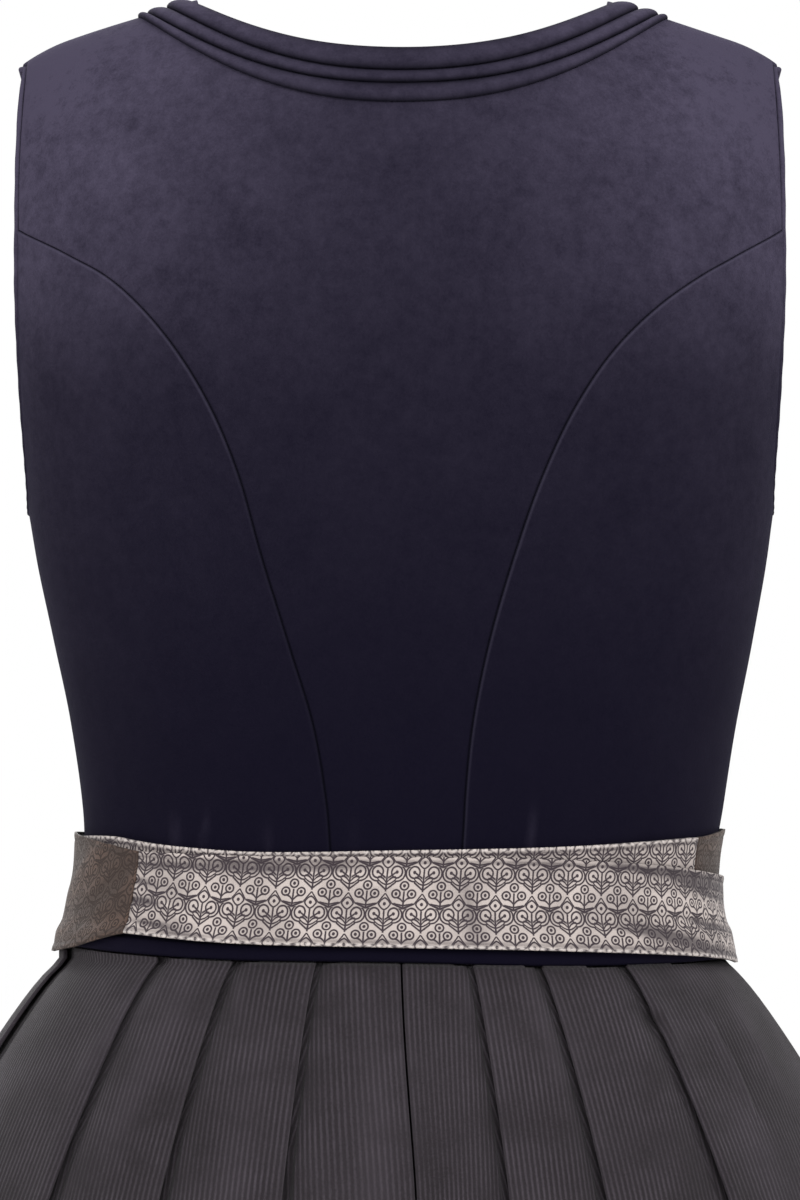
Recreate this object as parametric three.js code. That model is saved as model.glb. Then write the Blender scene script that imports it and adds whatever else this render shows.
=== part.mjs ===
// A dirndl that keeps the hollow form of its wearer: a princess-seamed velvet bodice, a knife-pleated midi skirt,
// and an apron whose pale sash goes across the back twice and ties in a bow in front.
//
// Millimetres, +Z up. The wearer faces -Y and the wearer's left is +X. The origin lies midway between the two
// shoulder seams, where the wearer's shoulders carry the garment. A place on the garment is given by its turn, the
// angle in degrees round the figure from the centre back, positive towards the wearer's left, and its height z.
import * as THREE from "three";

// Cloth walls
const BODICE_CLOTH = 2.0;
const SKIRT_CLOTH = 1.2;
const APRON_CLOTH = 1.3;
const SASH_CLOTH = 1.3;
const SEAM_GAP = 0.3;

// Heights of the garment
const WAIST_SEAM_Z = -407;
const SKIRT_LENGTH = 700;
const HEM_Z = WAIST_SEAM_Z - SKIRT_LENGTH;
const APRON_SHORTER_THAN_SKIRT = 28;

// Shoulder line: a ridge that falls evenly to each side of a rounded middle, and droops at the shoulder tips
const SHOULDER_PEAK = 50;
const SHOULDER_SLOPE = 0.35;
const SHOULDER_ROUNDING = 20;
const SHOULDER_DROOP_START = 145;
const SHOULDER_DROOP = 0.009;
const BACK_ROLL_HEIGHT = 150;
const FRONT_ROLL_HEIGHT = 175;

// The figure under the bodice, a row for each height: half width, sideways shift of its middle, depth behind and
// before the shoulder line, and how far each of those two faces is squared off
const FIGURE = [
  { z: -425, half: 148.6, shift: 3.2, back: 103.0, backFlat: 0.2, front: 106.0, frontFlat: 0.2 },
  { z: -407, half: 145.0, shift: 3.2, back: 101.0, backFlat: 0.2, front: 104.0, frontFlat: 0.2 },
  { z: -385, half: 140.2, shift: 2.4, back: 97.0, backFlat: 0.3, front: 100.5, frontFlat: 0.2 },
  { z: -363, half: 138.2, shift: 0.4, back: 95.0, backFlat: 0.3, front: 98.5, frontFlat: 0.2 },
  { z: -340, half: 140.2, shift: -1.5, back: 95.5, backFlat: 0.35, front: 100.0, frontFlat: 0.3 },
  { z: -302, half: 145.7, shift: -1.7, back: 98.0, backFlat: 0.4, front: 108.0, frontFlat: 0.5 },
  { z: -267, half: 152.9, shift: -1.3, back: 101.5, backFlat: 0.45, front: 119.0, frontFlat: 0.7 },
  { z: -232, half: 159.7, shift: -0.6, back: 104.5, backFlat: 0.45, front: 129.0, frontFlat: 0.9 },
  { z: -205, half: 163.6, shift: -0.2, back: 106.0, backFlat: 0.45, front: 134.0, frontFlat: 1.0 },
  { z: -160, half: 169.5, shift: 0.0, back: 107.0, backFlat: 0.45, front: 133.0, frontFlat: 0.9 },
  { z: -100, half: 175.5, shift: 0.0, back: 106.0, backFlat: 0.45, front: 125.0, frontFlat: 0.6 },
  { z: -40, half: 176.0, shift: 0.0, back: 104.0, backFlat: 0.4, front: 116.0, frontFlat: 0.4 },
  { z: 40, half: 172.0, shift: 0.0, back: 102.0, backFlat: 0.4, front: 110.0, frontFlat: 0.3 },
];

// The armhole's edge, a row for each height below the shoulder tip: turn on the back and on the front
const ARMHOLE = [
  { z: -213, back: 90, front: 90 },
  { z: -210, back: 86.5, front: 94 },
  { z: -203, back: 83, front: 98 },
  { z: -185, back: 79.8, front: 105 },
  { z: -160, back: 77.4, front: 112 },
  { z: -125, back: 74.2, front: 119 },
  { z: -88, back: 71.6, front: 119.8 },
  { z: -55, back: 70.7, front: 117 },
  { z: -30, back: 69.9, front: 112.5 },
  { z: -12, back: 69.2, front: 108.2 },
];
const UNDERARM_Z = -213;
const ARMHOLE_STEPS = 6;

// Back princess seams, x from the middle on each side, from the armhole to the waist
const BACK_PRINCESS_TOP_Z = -88;
const BACK_PRINCESS = [
  { z: -410, left: 27, right: 25 },
  { z: -330, left: 33, right: 28.8 },
  { z: -290, left: 41.4, right: 33.8 },
  { z: -250, left: 54.8, right: 43.6 },
  { z: -207, left: 66.5, right: 57.5 },
  { z: -178, left: 76.6, right: 69.8 },
  { z: -150, left: 91.2, right: 85.8 },
  { z: -125, left: 110, right: 108.5 },
  { z: -106, left: 132, right: 135 },
  { z: -88, left: 169, right: 169 },
];

// Front princess seams, over the fullest point of the bust to the waist
const FRONT_PRINCESS_TOP_Z = -95;
const FRONT_PRINCESS = [
  { z: -410, x: 56 },
  { z: -330, x: 60 },
  { z: -280, x: 71 },
  { z: -240, x: 82 },
  { z: -207, x: 89 },
  { z: -180, x: 94 },
  { z: -150, x: 103 },
  { z: -120, x: 121 },
  { z: -95, x: 153 },
];

// Rows of points down the bodice: heights along the princess seams with those that match along the side seams
const BODICE_ROWS = [
  { seam: 0, side: -213 },
  { seam: -99, side: -221 },
  { seam: -108, side: -230 },
  { seam: -121, side: -240 },
  { seam: -140, side: -251 },
  { seam: -165, side: -264 },
  { seam: -195, side: -280 },
  { seam: -232, side: -298 },
  { seam: -270, side: -315 },
  { seam: -305, side: -330 },
  { seam: -334, side: -345 },
  { seam: -355, side: -360 },
  { seam: -374, side: -377 },
  { seam: -391, side: -393 },
  { seam: -407, side: -407 },
];
// Heights along the armhole above the princess seams
const YOKE_ROWS = [-14.5, -18, -26, -41, -63];

// The neckline and the grooves between its stacked bands, a row for each: x at the shoulder, and how far the line
// runs below the shoulder ridge at the centre back and at the centre front
const NECK_LINES = [
  { shoulderX: 92, backDrop: 39, frontDrop: 185 },
  { shoulderX: 102, backDrop: 49.5, frontDrop: 195.5 },
  { shoulderX: 110.5, backDrop: 55, frontDrop: 202 },
  { shoulderX: 114.5, backDrop: 63.5, frontDrop: 210.5 },
];
// Powers that shape the neckline behind and in front, and one that shares its points out evenly in front
const NECK_BACK_CURVE = 2.16;
const NECK_FRONT_CURVE = 0.833;
const NECK_FRONT_SPACING = 2.4;
const NECK_BAND_LIFT = 0.5;
// The neckline reaches a little further over the wearer's right shoulder
const NECK_RIGHT_WIDER = 1.022;

// Height of the seam between bodice and skirt, which is not quite level
const WAIST_SEAM = [
  { turn: -180, z: -405.5 },
  { turn: -90, z: -406 },
  { turn: -52, z: -408 },
  { turn: -30, z: -408.8 },
  { turn: 0, z: -407 },
  { turn: 30, z: -406 },
  { turn: 52, z: -403.5 },
  { turn: 75, z: -401 },
  { turn: 105, z: -401.5 },
  { turn: 180, z: -405.5 },
];
const BINDING_HEIGHT = 7;
// The bodice's cloth ends this far above the skirt's, behind the binding
const WAIST_EASE = 0.6;

// Knife pleats: the turn of each fold on the wearer's left and right, counted from the centre back. Every fold faces
// the centre back, where two of them meet, and a plain box panel is left at the centre front.
const PLEAT_FOLDS = [
  { left: 13.3, right: 13.5 },
  { left: 28.6, right: 25.2 },
  { left: 44.8, right: 41.8 },
  { left: 81, right: 92 },
  { left: 95, right: 105 },
  { left: 109, right: 118 },
  { left: 123, right: 130 },
  { left: 137, right: 142 },
  { left: 151.5, right: 154 },
  { left: 166, right: 166 },
];
const CENTRE_BACK_FOLD = -0.9;
const CENTRE_BACK_OPENING = 2.2;
const CUT_PER_PLEAT = 118;
const UNDERLAP_SHARE = 0.7;
// Radius of the waist where it bends least, for the sag of a straight stretch of cloth
const WAIST_RADIUS = 110;
// The skirt at its waist seam, how far its outline is squared off, and how it spreads below: a step over the seam,
// a bell over the hips and a straight flare, with the depth growing less than the width
const SKIRT_WAIST = { half: 145.6, back: 101.2, front: 104.2, shift: 3.2 };
const SKIRT_SQUARED = 0.2;
const SEAM_STEP = { spread: 3, within: 5 };
const HIP_BELL = { spread: 90, within: 155 };
const FLARE = 0.2;
const DEPTH_SHARE = 0.85;
// Depths below the waist seam at which the skirt has a row of points
const SKIRT_ROWS = [0, 14, 50, 130, 330, SKIRT_LENGTH];
// The two folds on each side whose inner layers hold the seams between the skirt's five widths
const SKIRT_SEAM_FOLDS = [4, 8];

// Layers over the bodice at the waist, as lifts from its outside
const FIRST_LAYER = 1.0;
const SECOND_LAYER = 2.9;

// Edges of the sash and of the apron's waistband, a row for each turn
const SASH_OUTER_EDGES = [
  { turn: -207, top: -357, bottom: -395.4, flare: 0.4 },
  { turn: -180, top: -359, bottom: -396.5, flare: 0.4 },
  { turn: -150, top: -363, bottom: -397.2, flare: 3.4 },
  { turn: -125, top: -366, bottom: -400.5, flare: 3.4 },
  { turn: -111, top: -367.9, bottom: -403.5, flare: 3.4 },
  { turn: -102, top: -369, bottom: -405.9, flare: 3 },
  { turn: -90, top: -370, bottom: -408.8, flare: 1.7 },
  { turn: -75, top: -368.4, bottom: -406.9, flare: 1.6 },
  { turn: -54, top: -364.9, bottom: -404.5, flare: 1.6 },
  { turn: -28, top: -361.8, bottom: -402.5, flare: 1.6 },
  { turn: 0, top: -360.9, bottom: -401.2, flare: 1.6 },
  { turn: 28, top: -360.6, bottom: -399.4, flare: 1.6 },
  { turn: 53, top: -358.8, bottom: -395.1, flare: 1.6 },
];
const SASH_INNER_EDGES = [
  { turn: -64, top: -352.6, bottom: -391 },
  { turn: -52, top: -353.9, bottom: -391 },
  { turn: -28, top: -356.6, bottom: -391 },
  { turn: 0, top: -358, bottom: -391 },
  { turn: 26, top: -358.8, bottom: -391 },
  { turn: 43, top: -356.6, bottom: -391 },
  { turn: 52, top: -354.8, bottom: -391 },
  { turn: 64, top: -352.2, bottom: -391 },
  { turn: 90, top: -353, bottom: -391 },
  { turn: 142, top: -356, bottom: -391 },
];
const WAISTBAND_EDGES = [
  { turn: -217.5, top: -354, bottom: -395.8, flare: 0 },
  { turn: -209, top: -354, bottom: -395.8, flare: 0 },
  { turn: -180, top: -352, bottom: -397.5, flare: 0 },
  { turn: -110, top: -350, bottom: -397.5, flare: 0 },
  { turn: -90, top: -349.2, bottom: -397, flare: 0 },
  { turn: -64, top: -352.6, bottom: -396, flare: 0 },
];
const WAISTBAND_LEFT_EDGES = [
  { turn: 53.4, top: -358.8, bottom: -395.1, flare: 1.6 },
  { turn: 70, top: -354, bottom: -399.6, flare: 1.2 },
  { turn: 90, top: -350.9, bottom: -402.3, flare: 1 },
  { turn: 105, top: -351, bottom: -400.5, flare: 0.8 },
  { turn: 125, top: -352.5, bottom: -397.2, flare: 0.2 },
  { turn: 142.5, top: -354, bottom: -395.8, flare: 0 },
];
const FLARE_START_Z = -389;
const FLARE_HEIGHT = 7;
// Turns between which the waistband climbs from the bodice over the sash's inner pass, under the bow
const WAISTBAND_STEP = { from: -209, to: -216 };

// Apron skirt
const APRON_EDGE_TURN = 104;
const APRON_GATHERS = 18;
const APRON_LIFT = 1.3;
const APRON_TOP_LIFT = 2.4;
const APRON_WAVE_TOP = 0.7;
const APRON_WAVE_HEM = 4.5;

// Bow at the wearer's left front, and the millimetres round it for each degree of turn
const BOW_TURN = 147.6;
const BOW_Z = -375;
const BOW_DEGREE = 2.1;
const KNOT = { width: 30, height: 42, depth: 12 };
const KNOT_SINK = 0.5;
const LOOP_REACH = 74;
const LOOP_UNDER_RISE = 5.3;
const TAIL_END_DEPTH = 330;

const VELVET = { color: 0x22212f, roughness: 0.9, metalness: 0 };
const SKIRT_WOOL = { color: 0x3e393e, roughness: 0.85, metalness: 0 };
const DARK_JACQUARD = { color: 0x504840, roughness: 0.6, metalness: 0 };
const PALE_JACQUARD = { color: 0xcdc4be, roughness: 0.45, metalness: 0 };

const dirndl = new THREE.Group();
const LEFT = 1;
const RIGHT = -1;

// Value of a column at a key between a table's rows, which rise by that key, with a smooth curve through them.
function column(rows, key, name, at) {
  const last = rows.length - 1;
  let i = 0;
  while (i < last - 1 && at > rows[i + 1][key]) {
    i += 1;
  }
  const slope = (a, b) => (rows[b][name] - rows[a][name]) / (rows[b][key] - rows[a][key]);
  const startSlope = i > 0 ? slope(i - 1, i + 1) : slope(i, i + 1);
  const endSlope = i + 1 < last ? slope(i, i + 2) : slope(i, i + 1);
  const span = rows[i + 1][key] - rows[i][key];
  const t = THREE.MathUtils.clamp((at - rows[i][key]) / span, 0, 1);
  const fromStart = rows[i][name] * (1 + 2 * t) * (1 - t) ** 2 + startSlope * span * t * (1 - t) ** 2;
  const fromEnd = rows[i + 1][name] * (3 - 2 * t) * t ** 2 - endSlope * span * t ** 2 * (1 - t);
  return fromStart + fromEnd;
}

function radians(degrees) {
  return (degrees * Math.PI) / 180;
}

function shoulderHeight(x) {
  const droop = SHOULDER_DROOP * Math.max(Math.abs(x) - SHOULDER_DROOP_START, 0) ** 2;
  return SHOULDER_PEAK - Math.hypot(SHOULDER_SLOPE * x, SHOULDER_ROUNDING) - droop;
}

// Size of the figure at a height, for its back or its front half.
function figureAt(z, isBack) {
  return {
    half: column(FIGURE, "z", "half", z),
    shift: column(FIGURE, "z", "shift", z),
    depth: column(FIGURE, "z", isBack ? "back" : "front", z),
    flat: column(FIGURE, "z", isBack ? "backFlat" : "frontFlat", z),
    rollHeight: isBack ? BACK_ROLL_HEIGHT : FRONT_ROLL_HEIGHT,
  };
}

// How far the shoulder's roll has let the depth grow at a place, squared: 0 on the shoulder line, 1 below the roll.
function rollSquared(x, z, rollHeight) {
  const share = Math.min((shoulderHeight(x) - z) / rollHeight, 1);
  return 2 * share - share ** 2;
}

// Point on the outside of the bodice at a turn and a height.
function bodicePoint(turn, z) {
  const angle = radians(turn);
  const figure = figureAt(z, Math.cos(angle) > 0);
  const x = figure.shift + figure.half * Math.sin(angle);
  const squared = Math.sqrt(1 + figure.flat * Math.sin(angle) ** 2);
  const roll = Math.sqrt(Math.max(rollSquared(x, z, figure.rollHeight), 0));
  return new THREE.Vector3(x, figure.depth * Math.cos(angle) * squared * roll, z);
}

// Outward direction of the bodice at a point of it, from the slope of the function that is zero all over it.
function bodiceNormal(point, isBack) {
  const level = (x, y, z) => {
    const figure = figureAt(z, isBack);
    const share = (x - figure.shift) / figure.half;
    const outline = (1 - share ** 2) * (1 + figure.flat * share ** 2);
    return y ** 2 - figure.depth ** 2 * outline * rollSquared(x, z, figure.rollHeight);
  };
  const step = 0.4;
  const { x, y, z } = point;
  return new THREE.Vector3(
    level(x + step, y, z) - level(x - step, y, z),
    level(x, y + step, z) - level(x, y - step, z),
    level(x, y, z + step) - level(x, y, z - step),
  ).normalize();
}

// Bodice point moved out from the cloth by a lift.
function liftedBodicePoint(turn, z, lift) {
  const point = bodicePoint(turn, z);
  return point.addScaledVector(bodiceNormal(point, Math.cos(radians(turn)) > 0), lift);
}

// Half width, half depth and middle of the skirt at a height.
function skirtSize(z) {
  const depth = Math.max(WAIST_SEAM_Z - z, 0);
  const rounded = ({ spread, within }) => spread * (1 - Math.exp(-depth / within));
  const spread = FLARE * depth + rounded(HIP_BELL) + rounded(SEAM_STEP);
  return {
    half: SKIRT_WAIST.half + spread,
    back: SKIRT_WAIST.back + DEPTH_SHARE * spread,
    front: SKIRT_WAIST.front + DEPTH_SHARE * spread,
    shift: SKIRT_WAIST.shift,
  };
}

// Point on the outermost surface of the skirt, moved out level by a lift.
function skirtPoint(turn, z, lift) {
  const size = skirtSize(z);
  const angle = radians(turn);
  const depth = Math.cos(angle) > 0 ? size.back : size.front;
  const squared = Math.sqrt(1 + SKIRT_SQUARED * Math.sin(angle) ** 2);
  const outward = new THREE.Vector2(Math.sin(angle) / size.half, Math.cos(angle) / depth).normalize();
  const x = size.shift + size.half * Math.sin(angle);
  const y = depth * Math.cos(angle) * squared;
  return new THREE.Vector3(x + outward.x * lift, y + outward.y * lift, z);
}

// Millimetres round the skirt for each degree of turn.
function skirtDegree(turn, z) {
  const step = 0.5;
  return skirtPoint(turn + step, z, 0).distanceTo(skirtPoint(turn - step, z, 0)) / (2 * step);
}

function waistSeamZ(turn) {
  const wrapped = turn < -180 ? turn + 360 : turn;
  return column(WAIST_SEAM, "turn", "z", wrapped);
}

// Height of the bodice's lower edge.
function bodiceHemZ(turn) {
  return waistSeamZ(turn) + WAIST_EASE;
}

// Height of a row of the skirt, counted by its depth, which shares out the seam's unevenness down to a level hem.
function skirtLevel(turn, depth) {
  const top = waistSeamZ(turn) - SEAM_GAP;
  return top + ((HEM_Z - top) * depth) / SKIRT_LENGTH;
}

// Point outside everything that lies under the apron: the bodice above the waist seam and the skirt below it.
function overGarment(turn, z, lift) {
  return z > waistSeamZ(turn) ? liftedBodicePoint(turn, z, lift) : skirtPoint(turn, z, lift);
}

// Adds one closed body, with its faces pointing out.
function addBody(name, positions, triangles, look) {
  const [a, b, c] = [new THREE.Vector3(), new THREE.Vector3(), new THREE.Vector3()];
  let volume = 0;
  for (let i = 0; i < triangles.length; i += 3) {
    a.copy(positions[triangles[i]]);
    b.copy(positions[triangles[i + 1]]);
    c.copy(positions[triangles[i + 2]]);
    volume += a.dot(b.cross(c));
  }
  const ordered = volume < 0 ? triangles.toReversed() : triangles;
  const geometry = new THREE.BufferGeometry();
  const flat = positions.flatMap((point) => [point.x, point.y, point.z]);
  geometry.setAttribute("position", new THREE.Float32BufferAttribute(flat, 3));
  geometry.setIndex(ordered);
  geometry.computeVertexNormals();
  const mesh = new THREE.Mesh(geometry, new THREE.MeshStandardMaterial(look));
  mesh.name = name;
  dirndl.add(mesh);
}

// A wall between two grids of points, its outside and its inside, closed round all four edges.
function addWall(name, outside, inside, look) {
  const rows = outside.length;
  const columns = outside[0].length;
  const positions = [...outside.flat(), ...inside.flat()];
  const innerStart = rows * columns;
  const triangles = [];
  const addQuad = (a, b, c, d) => triangles.push(a, b, c, a, c, d);
  const at = (row, columnIndex) => row * columns + columnIndex;
  for (let row = 0; row + 1 < rows; row += 1) {
    for (let i = 0; i + 1 < columns; i += 1) {
      const corners = [at(row, i), at(row, i + 1), at(row + 1, i + 1), at(row + 1, i)];
      addQuad(...corners);
      const [a, b, c, d] = corners.map((corner) => corner + innerStart);
      triangles.push(a, c, b, a, d, c);
    }
  }
  const border = [];
  for (let i = 0; i < columns; i += 1) {
    border.push(at(0, i));
  }
  for (let row = 1; row < rows; row += 1) {
    border.push(at(row, columns - 1));
  }
  for (let i = columns - 2; i >= 0; i -= 1) {
    border.push(at(rows - 1, i));
  }
  for (let row = rows - 2; row > 0; row -= 1) {
    border.push(at(row, 0));
  }
  border.forEach((corner, i) => {
    const next = border[(i + 1) % border.length];
    addQuad(corner, corner + innerStart, next + innerStart, next);
  });
  addBody(name, positions, triangles, look);
}

// A body through closed sections of the same number of points. Its ends are flat unless it runs round to its start.
function addSwept(name, sections, isLoop, look) {
  const size = sections[0].length;
  const positions = sections.flat();
  const triangles = [];
  const spans = isLoop ? sections.length : sections.length - 1;
  for (let s = 0; s < spans; s += 1) {
    const near = s * size;
    const far = ((s + 1) % sections.length) * size;
    for (let i = 0; i < size; i += 1) {
      const next = (i + 1) % size;
      triangles.push(near + i, near + next, far + next, near + i, far + next, far + i);
    }
  }
  if (!isLoop) {
    const end = (sections.length - 1) * size;
    for (let i = 1; i + 1 < size; i += 1) {
      triangles.push(0, i + 1, i, end, end + i, end + i + 1);
    }
  }
  addBody(name, positions, triangles, look);
}

// Moves a grid's border in towards its neighbours, so that two panels keep the seam gap.
function openSeams(grid) {
  const rows = grid.length;
  const columns = grid[0].length;
  const inward = (index, count) => Math.min(Math.max(index, 1), count - 2);
  const original = grid.map((row) => row.map((point) => point.clone()));
  grid.forEach((row, r) => {
    row.forEach((point, c) => {
      const target = original[inward(r, rows)][inward(c, columns)];
      const isCorner = inward(r, rows) !== r && inward(c, columns) !== c;
      if (inward(r, rows) !== r || inward(c, columns) !== c) {
        const direction = target.clone().sub(original[r][c]).normalize();
        point.addScaledVector(direction, SEAM_GAP * (isCorner ? 1.2 : 0.75));
      }
    });
  });
}

// Bodice panels are filled between four border lines. Their places are worked with as turn and root, a power of the
// drop below the shoulder line, so that rows lie close together where the cloth rolls over the shoulder.
const ROOT_POWER = 0.55;

function place(turn, z) {
  const x = bodicePoint(turn, z).x;
  return { turn, root: Math.max(shoulderHeight(x) - z, 0) ** ROOT_POWER };
}

function placeAtX(x, z, isBack) {
  const figure = figureAt(z, isBack);
  const share = THREE.MathUtils.clamp((x - figure.shift) / figure.half, -1, 1);
  const backTurn = (Math.asin(share) * 180) / Math.PI;
  const side = x < 0 ? RIGHT : LEFT;
  return place(isBack ? backTurn : side * 180 - backTurn, z);
}

function placeHeight(turn, root) {
  const drop = root ** (1 / ROOT_POWER);
  let z = -drop;
  for (let pass = 0; pass < 8; pass += 1) {
    z = shoulderHeight(bodicePoint(turn, z).x) - drop;
  }
  return z;
}

// Rows of places between a top, a bottom and two side lines.
function fillPlaces(top, bottom, first, second) {
  const blend = (key, row, i) => {
    const down = row / (first.length - 1);
    const across = i / (top.length - 1);
    const lengthwise = (1 - down) * top[i][key] + down * bottom[i][key];
    const crosswise = (1 - across) * first[row][key] + across * second[row][key];
    const upper = (1 - across) * top[0][key] + across * top.at(-1)[key];
    const lower = (1 - across) * bottom[0][key] + across * bottom.at(-1)[key];
    return lengthwise + crosswise - (1 - down) * upper - down * lower;
  };
  return first.map((_, row) => top.map((_, i) => ({ turn: blend("turn", row, i), root: blend("root", row, i) })));
}

function addPanel(name, places) {
  const layer = (lift) => {
    const grid = places.map((row) =>
      row.map(({ turn, root }) => liftedBodicePoint(turn, placeHeight(turn, Math.max(root, 0)), lift)),
    );
    openSeams(grid);
    return grid;
  };
  addWall(name, layer(0), layer(-BODICE_CLOTH), VELVET);
}

// Places that divide a line of turn and height evenly.
function evenly(count, at) {
  return Array.from({ length: count + 1 }, (_, i) => at(i / count));
}

function armholePlace(side, z, isBack) {
  return place(side * column(ARMHOLE, "z", isBack ? "back" : "front", z), z);
}

function backPrincessPlace(side, z) {
  const x = column(BACK_PRINCESS, "z", side === LEFT ? "left" : "right", z);
  return placeAtX(side * x, z, true);
}

function frontPrincessPlace(side, z) {
  return placeAtX(side * column(FRONT_PRINCESS, "z", "x", z), z, false);
}

// Heights down the armhole below a seam's end, closer together towards the round underarm.
function lowerArmhole(topZ) {
  return evenly(ARMHOLE_STEPS, (share) => topZ + (UNDERARM_Z - topZ) * Math.sin((Math.PI / 2) * share));
}

// Side line of a centre panel: down the armhole, then down the princess seam to the waist.
function centrePanelSide(side, isBack) {
  const yoke = YOKE_ROWS.map((z) => armholePlace(side, z, isBack));
  yoke[0].root = 0;
  return [...yoke, ...princessLine(side, isBack)];
}

// A princess seam from the armhole to the waist, in the bodice's rows.
function princessLine(side, isBack) {
  const topZ = isBack ? BACK_PRINCESS_TOP_Z : FRONT_PRINCESS_TOP_Z;
  const seamPlace = isBack ? backPrincessPlace : frontPrincessPlace;
  const [, ...rest] = BODICE_ROWS;
  const line = [armholePlace(side, topZ, isBack)];
  rest.forEach((row, i) => {
    const isLast = i === rest.length - 1;
    const z = isLast ? bodiceHemZ(seamPlace(side, row.seam).turn) : row.seam;
    line.push(seamPlace(side, z));
  });
  return line;
}

function sideLine(side) {
  return BODICE_ROWS.map((row, i) => {
    const isLast = i === BODICE_ROWS.length - 1;
    return place(side * 90, isLast ? bodiceHemZ(side * 90) : row.side);
  });
}

// A point of the neckline family: line counts through the rows of the neck table, and along runs from -1 at the
// centre front over 0 at the shoulder to 1 at the centre back.
function neckPlace(side, line, along) {
  const row = Math.min(Math.floor(line), NECK_LINES.length - 2);
  const between = (name) => {
    const share = line - row;
    return (1 - share) * NECK_LINES[row][name] + share * NECK_LINES[row + 1][name];
  };
  const isBack = along >= 0;
  const angle = (Math.PI / 2) * (isBack ? along : Math.abs(along) ** NECK_FRONT_SPACING);
  const cosine = Math.max(Math.cos(angle), 0);
  const width = between("shoulderX") * (side === RIGHT ? NECK_RIGHT_WIDER : 1);
  const x = width * (isBack ? cosine : cosine ** NECK_FRONT_CURVE);
  const backDrop = between("backDrop") * Math.sin(angle) ** NECK_BACK_CURVE;
  const frontDrop = between("frontDrop") * Math.sin(angle) ** NECK_FRONT_CURVE;
  const z = shoulderHeight(x) - (isBack ? backDrop : frontDrop);
  const figure = figureAt(z, isBack);
  const shift = figure.shift * (x / NECK_LINES[0].shoulderX);
  const backTurn = (Math.asin(Math.min((x - shift) / figure.half, 1)) * 180) / Math.PI;
  return place(side * (isBack ? backTurn : 180 - backTurn), z);
}

// Places from the shoulder tip in along the shoulder seam to the neckline.
function shoulderLine(side, isBack, count) {
  return evenly(count, (share) => {
    const tip = armholePlace(side, YOKE_ROWS[0], isBack);
    const neck = neckPlace(side, 0, 0);
    const neckTurn = isBack ? neck.turn : side * 180 - neck.turn;
    return { turn: tip.turn + (neckTurn - tip.turn) * share, root: 0 };
  });
}

function waistLine(fromTurn, toTurn, count) {
  return evenly(count, (share) => {
    const turn = fromTurn + (toTurn - fromTurn) * share;
    return place(turn, bodiceHemZ(turn));
  });
}

function addBodice() {
  addBackCentre();
  [LEFT, RIGHT].forEach((side) => {
    const suffix = side === LEFT ? "left" : "right";
    const sideSeam = sideLine(side);
    [true, false].forEach((isBack) => {
      const seam = princessLine(side, isBack);
      const topZ = isBack ? BACK_PRINCESS_TOP_Z : FRONT_PRINCESS_TOP_Z;
      const armhole = lowerArmhole(topZ).map((z) => armholePlace(side, z, isBack));
      const waist = waistLine(seam.at(-1).turn, side * 90, ARMHOLE_STEPS);
      const name = `bodice_${isBack ? "back" : "front"}_side_${suffix}`;
      addPanel(name, fillPlaces(armhole, waist, seam, sideSeam));
    });
    addPanel(`bodice_front_centre_${suffix}`, frontCentrePlaces(side));
  });
}

// The back's centre panel: a yoke between the armholes, under the shoulders and the neckline, and below it the part
// between the princess seams.
function addBackCentre() {
  const left = centrePanelSide(LEFT, true);
  const right = centrePanelSide(RIGHT, true);
  const neck = evenly(10, (share) => {
    const along = Math.min(share, 1 - share) * 2;
    return neckPlace(share <= 0.5 ? LEFT : RIGHT, 0, along);
  });
  const shoulders = [shoulderLine(LEFT, true, 3), shoulderLine(RIGHT, true, 3).reverse()];
  const top = [...shoulders[0], ...neck.slice(1, -1), ...shoulders[1]];
  const yokeRows = YOKE_ROWS.length;
  const [yokeLeft, yokeRight] = [left[yokeRows], right[yokeRows]];
  const middle = evenly(top.length - 1, (share) => ({
    turn: yokeLeft.turn + (yokeRight.turn - yokeLeft.turn) * share,
    root: yokeLeft.root + (yokeRight.root - yokeLeft.root) * share,
  }));
  const waist = waistLine(left.at(-1).turn, right.at(-1).turn, top.length - 1);
  const yoke = fillPlaces(top, middle, left.slice(0, yokeRows + 1), right.slice(0, yokeRows + 1));
  const lower = fillPlaces(middle, waist, left.slice(yokeRows), right.slice(yokeRows));
  addPanel("bodice_back_centre", [...yoke, ...lower.slice(1)]);
}

// A front centre panel: its rows run from the armhole and the princess seam to the neckline and the centre front.
function frontCentrePlaces(side) {
  const columns = 7;
  const outer = centrePanelSide(side, false);
  const neckRows = 11;
  const neck = evenly(neckRows, (share) => neckPlace(side, 0, -share));
  const neckZ = placeHeight(neck.at(-1).turn, neck.at(-1).root);
  const waistZ = bodiceHemZ(side * 180);
  const rowsBelow = outer.length - 1 - neckRows;
  const centreFront = evenly(rowsBelow, (share) => place(side * 180, neckZ + (waistZ - neckZ) * share));
  const waist = waistLine(outer.at(-1).turn, side * 180, columns);
  const shoulder = shoulderLine(side, false, columns);
  const inner = [shoulder.at(-1), ...neck.slice(1, -1), ...centreFront];
  return fillPlaces(shoulder, waist, outer, inner);
}

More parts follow.
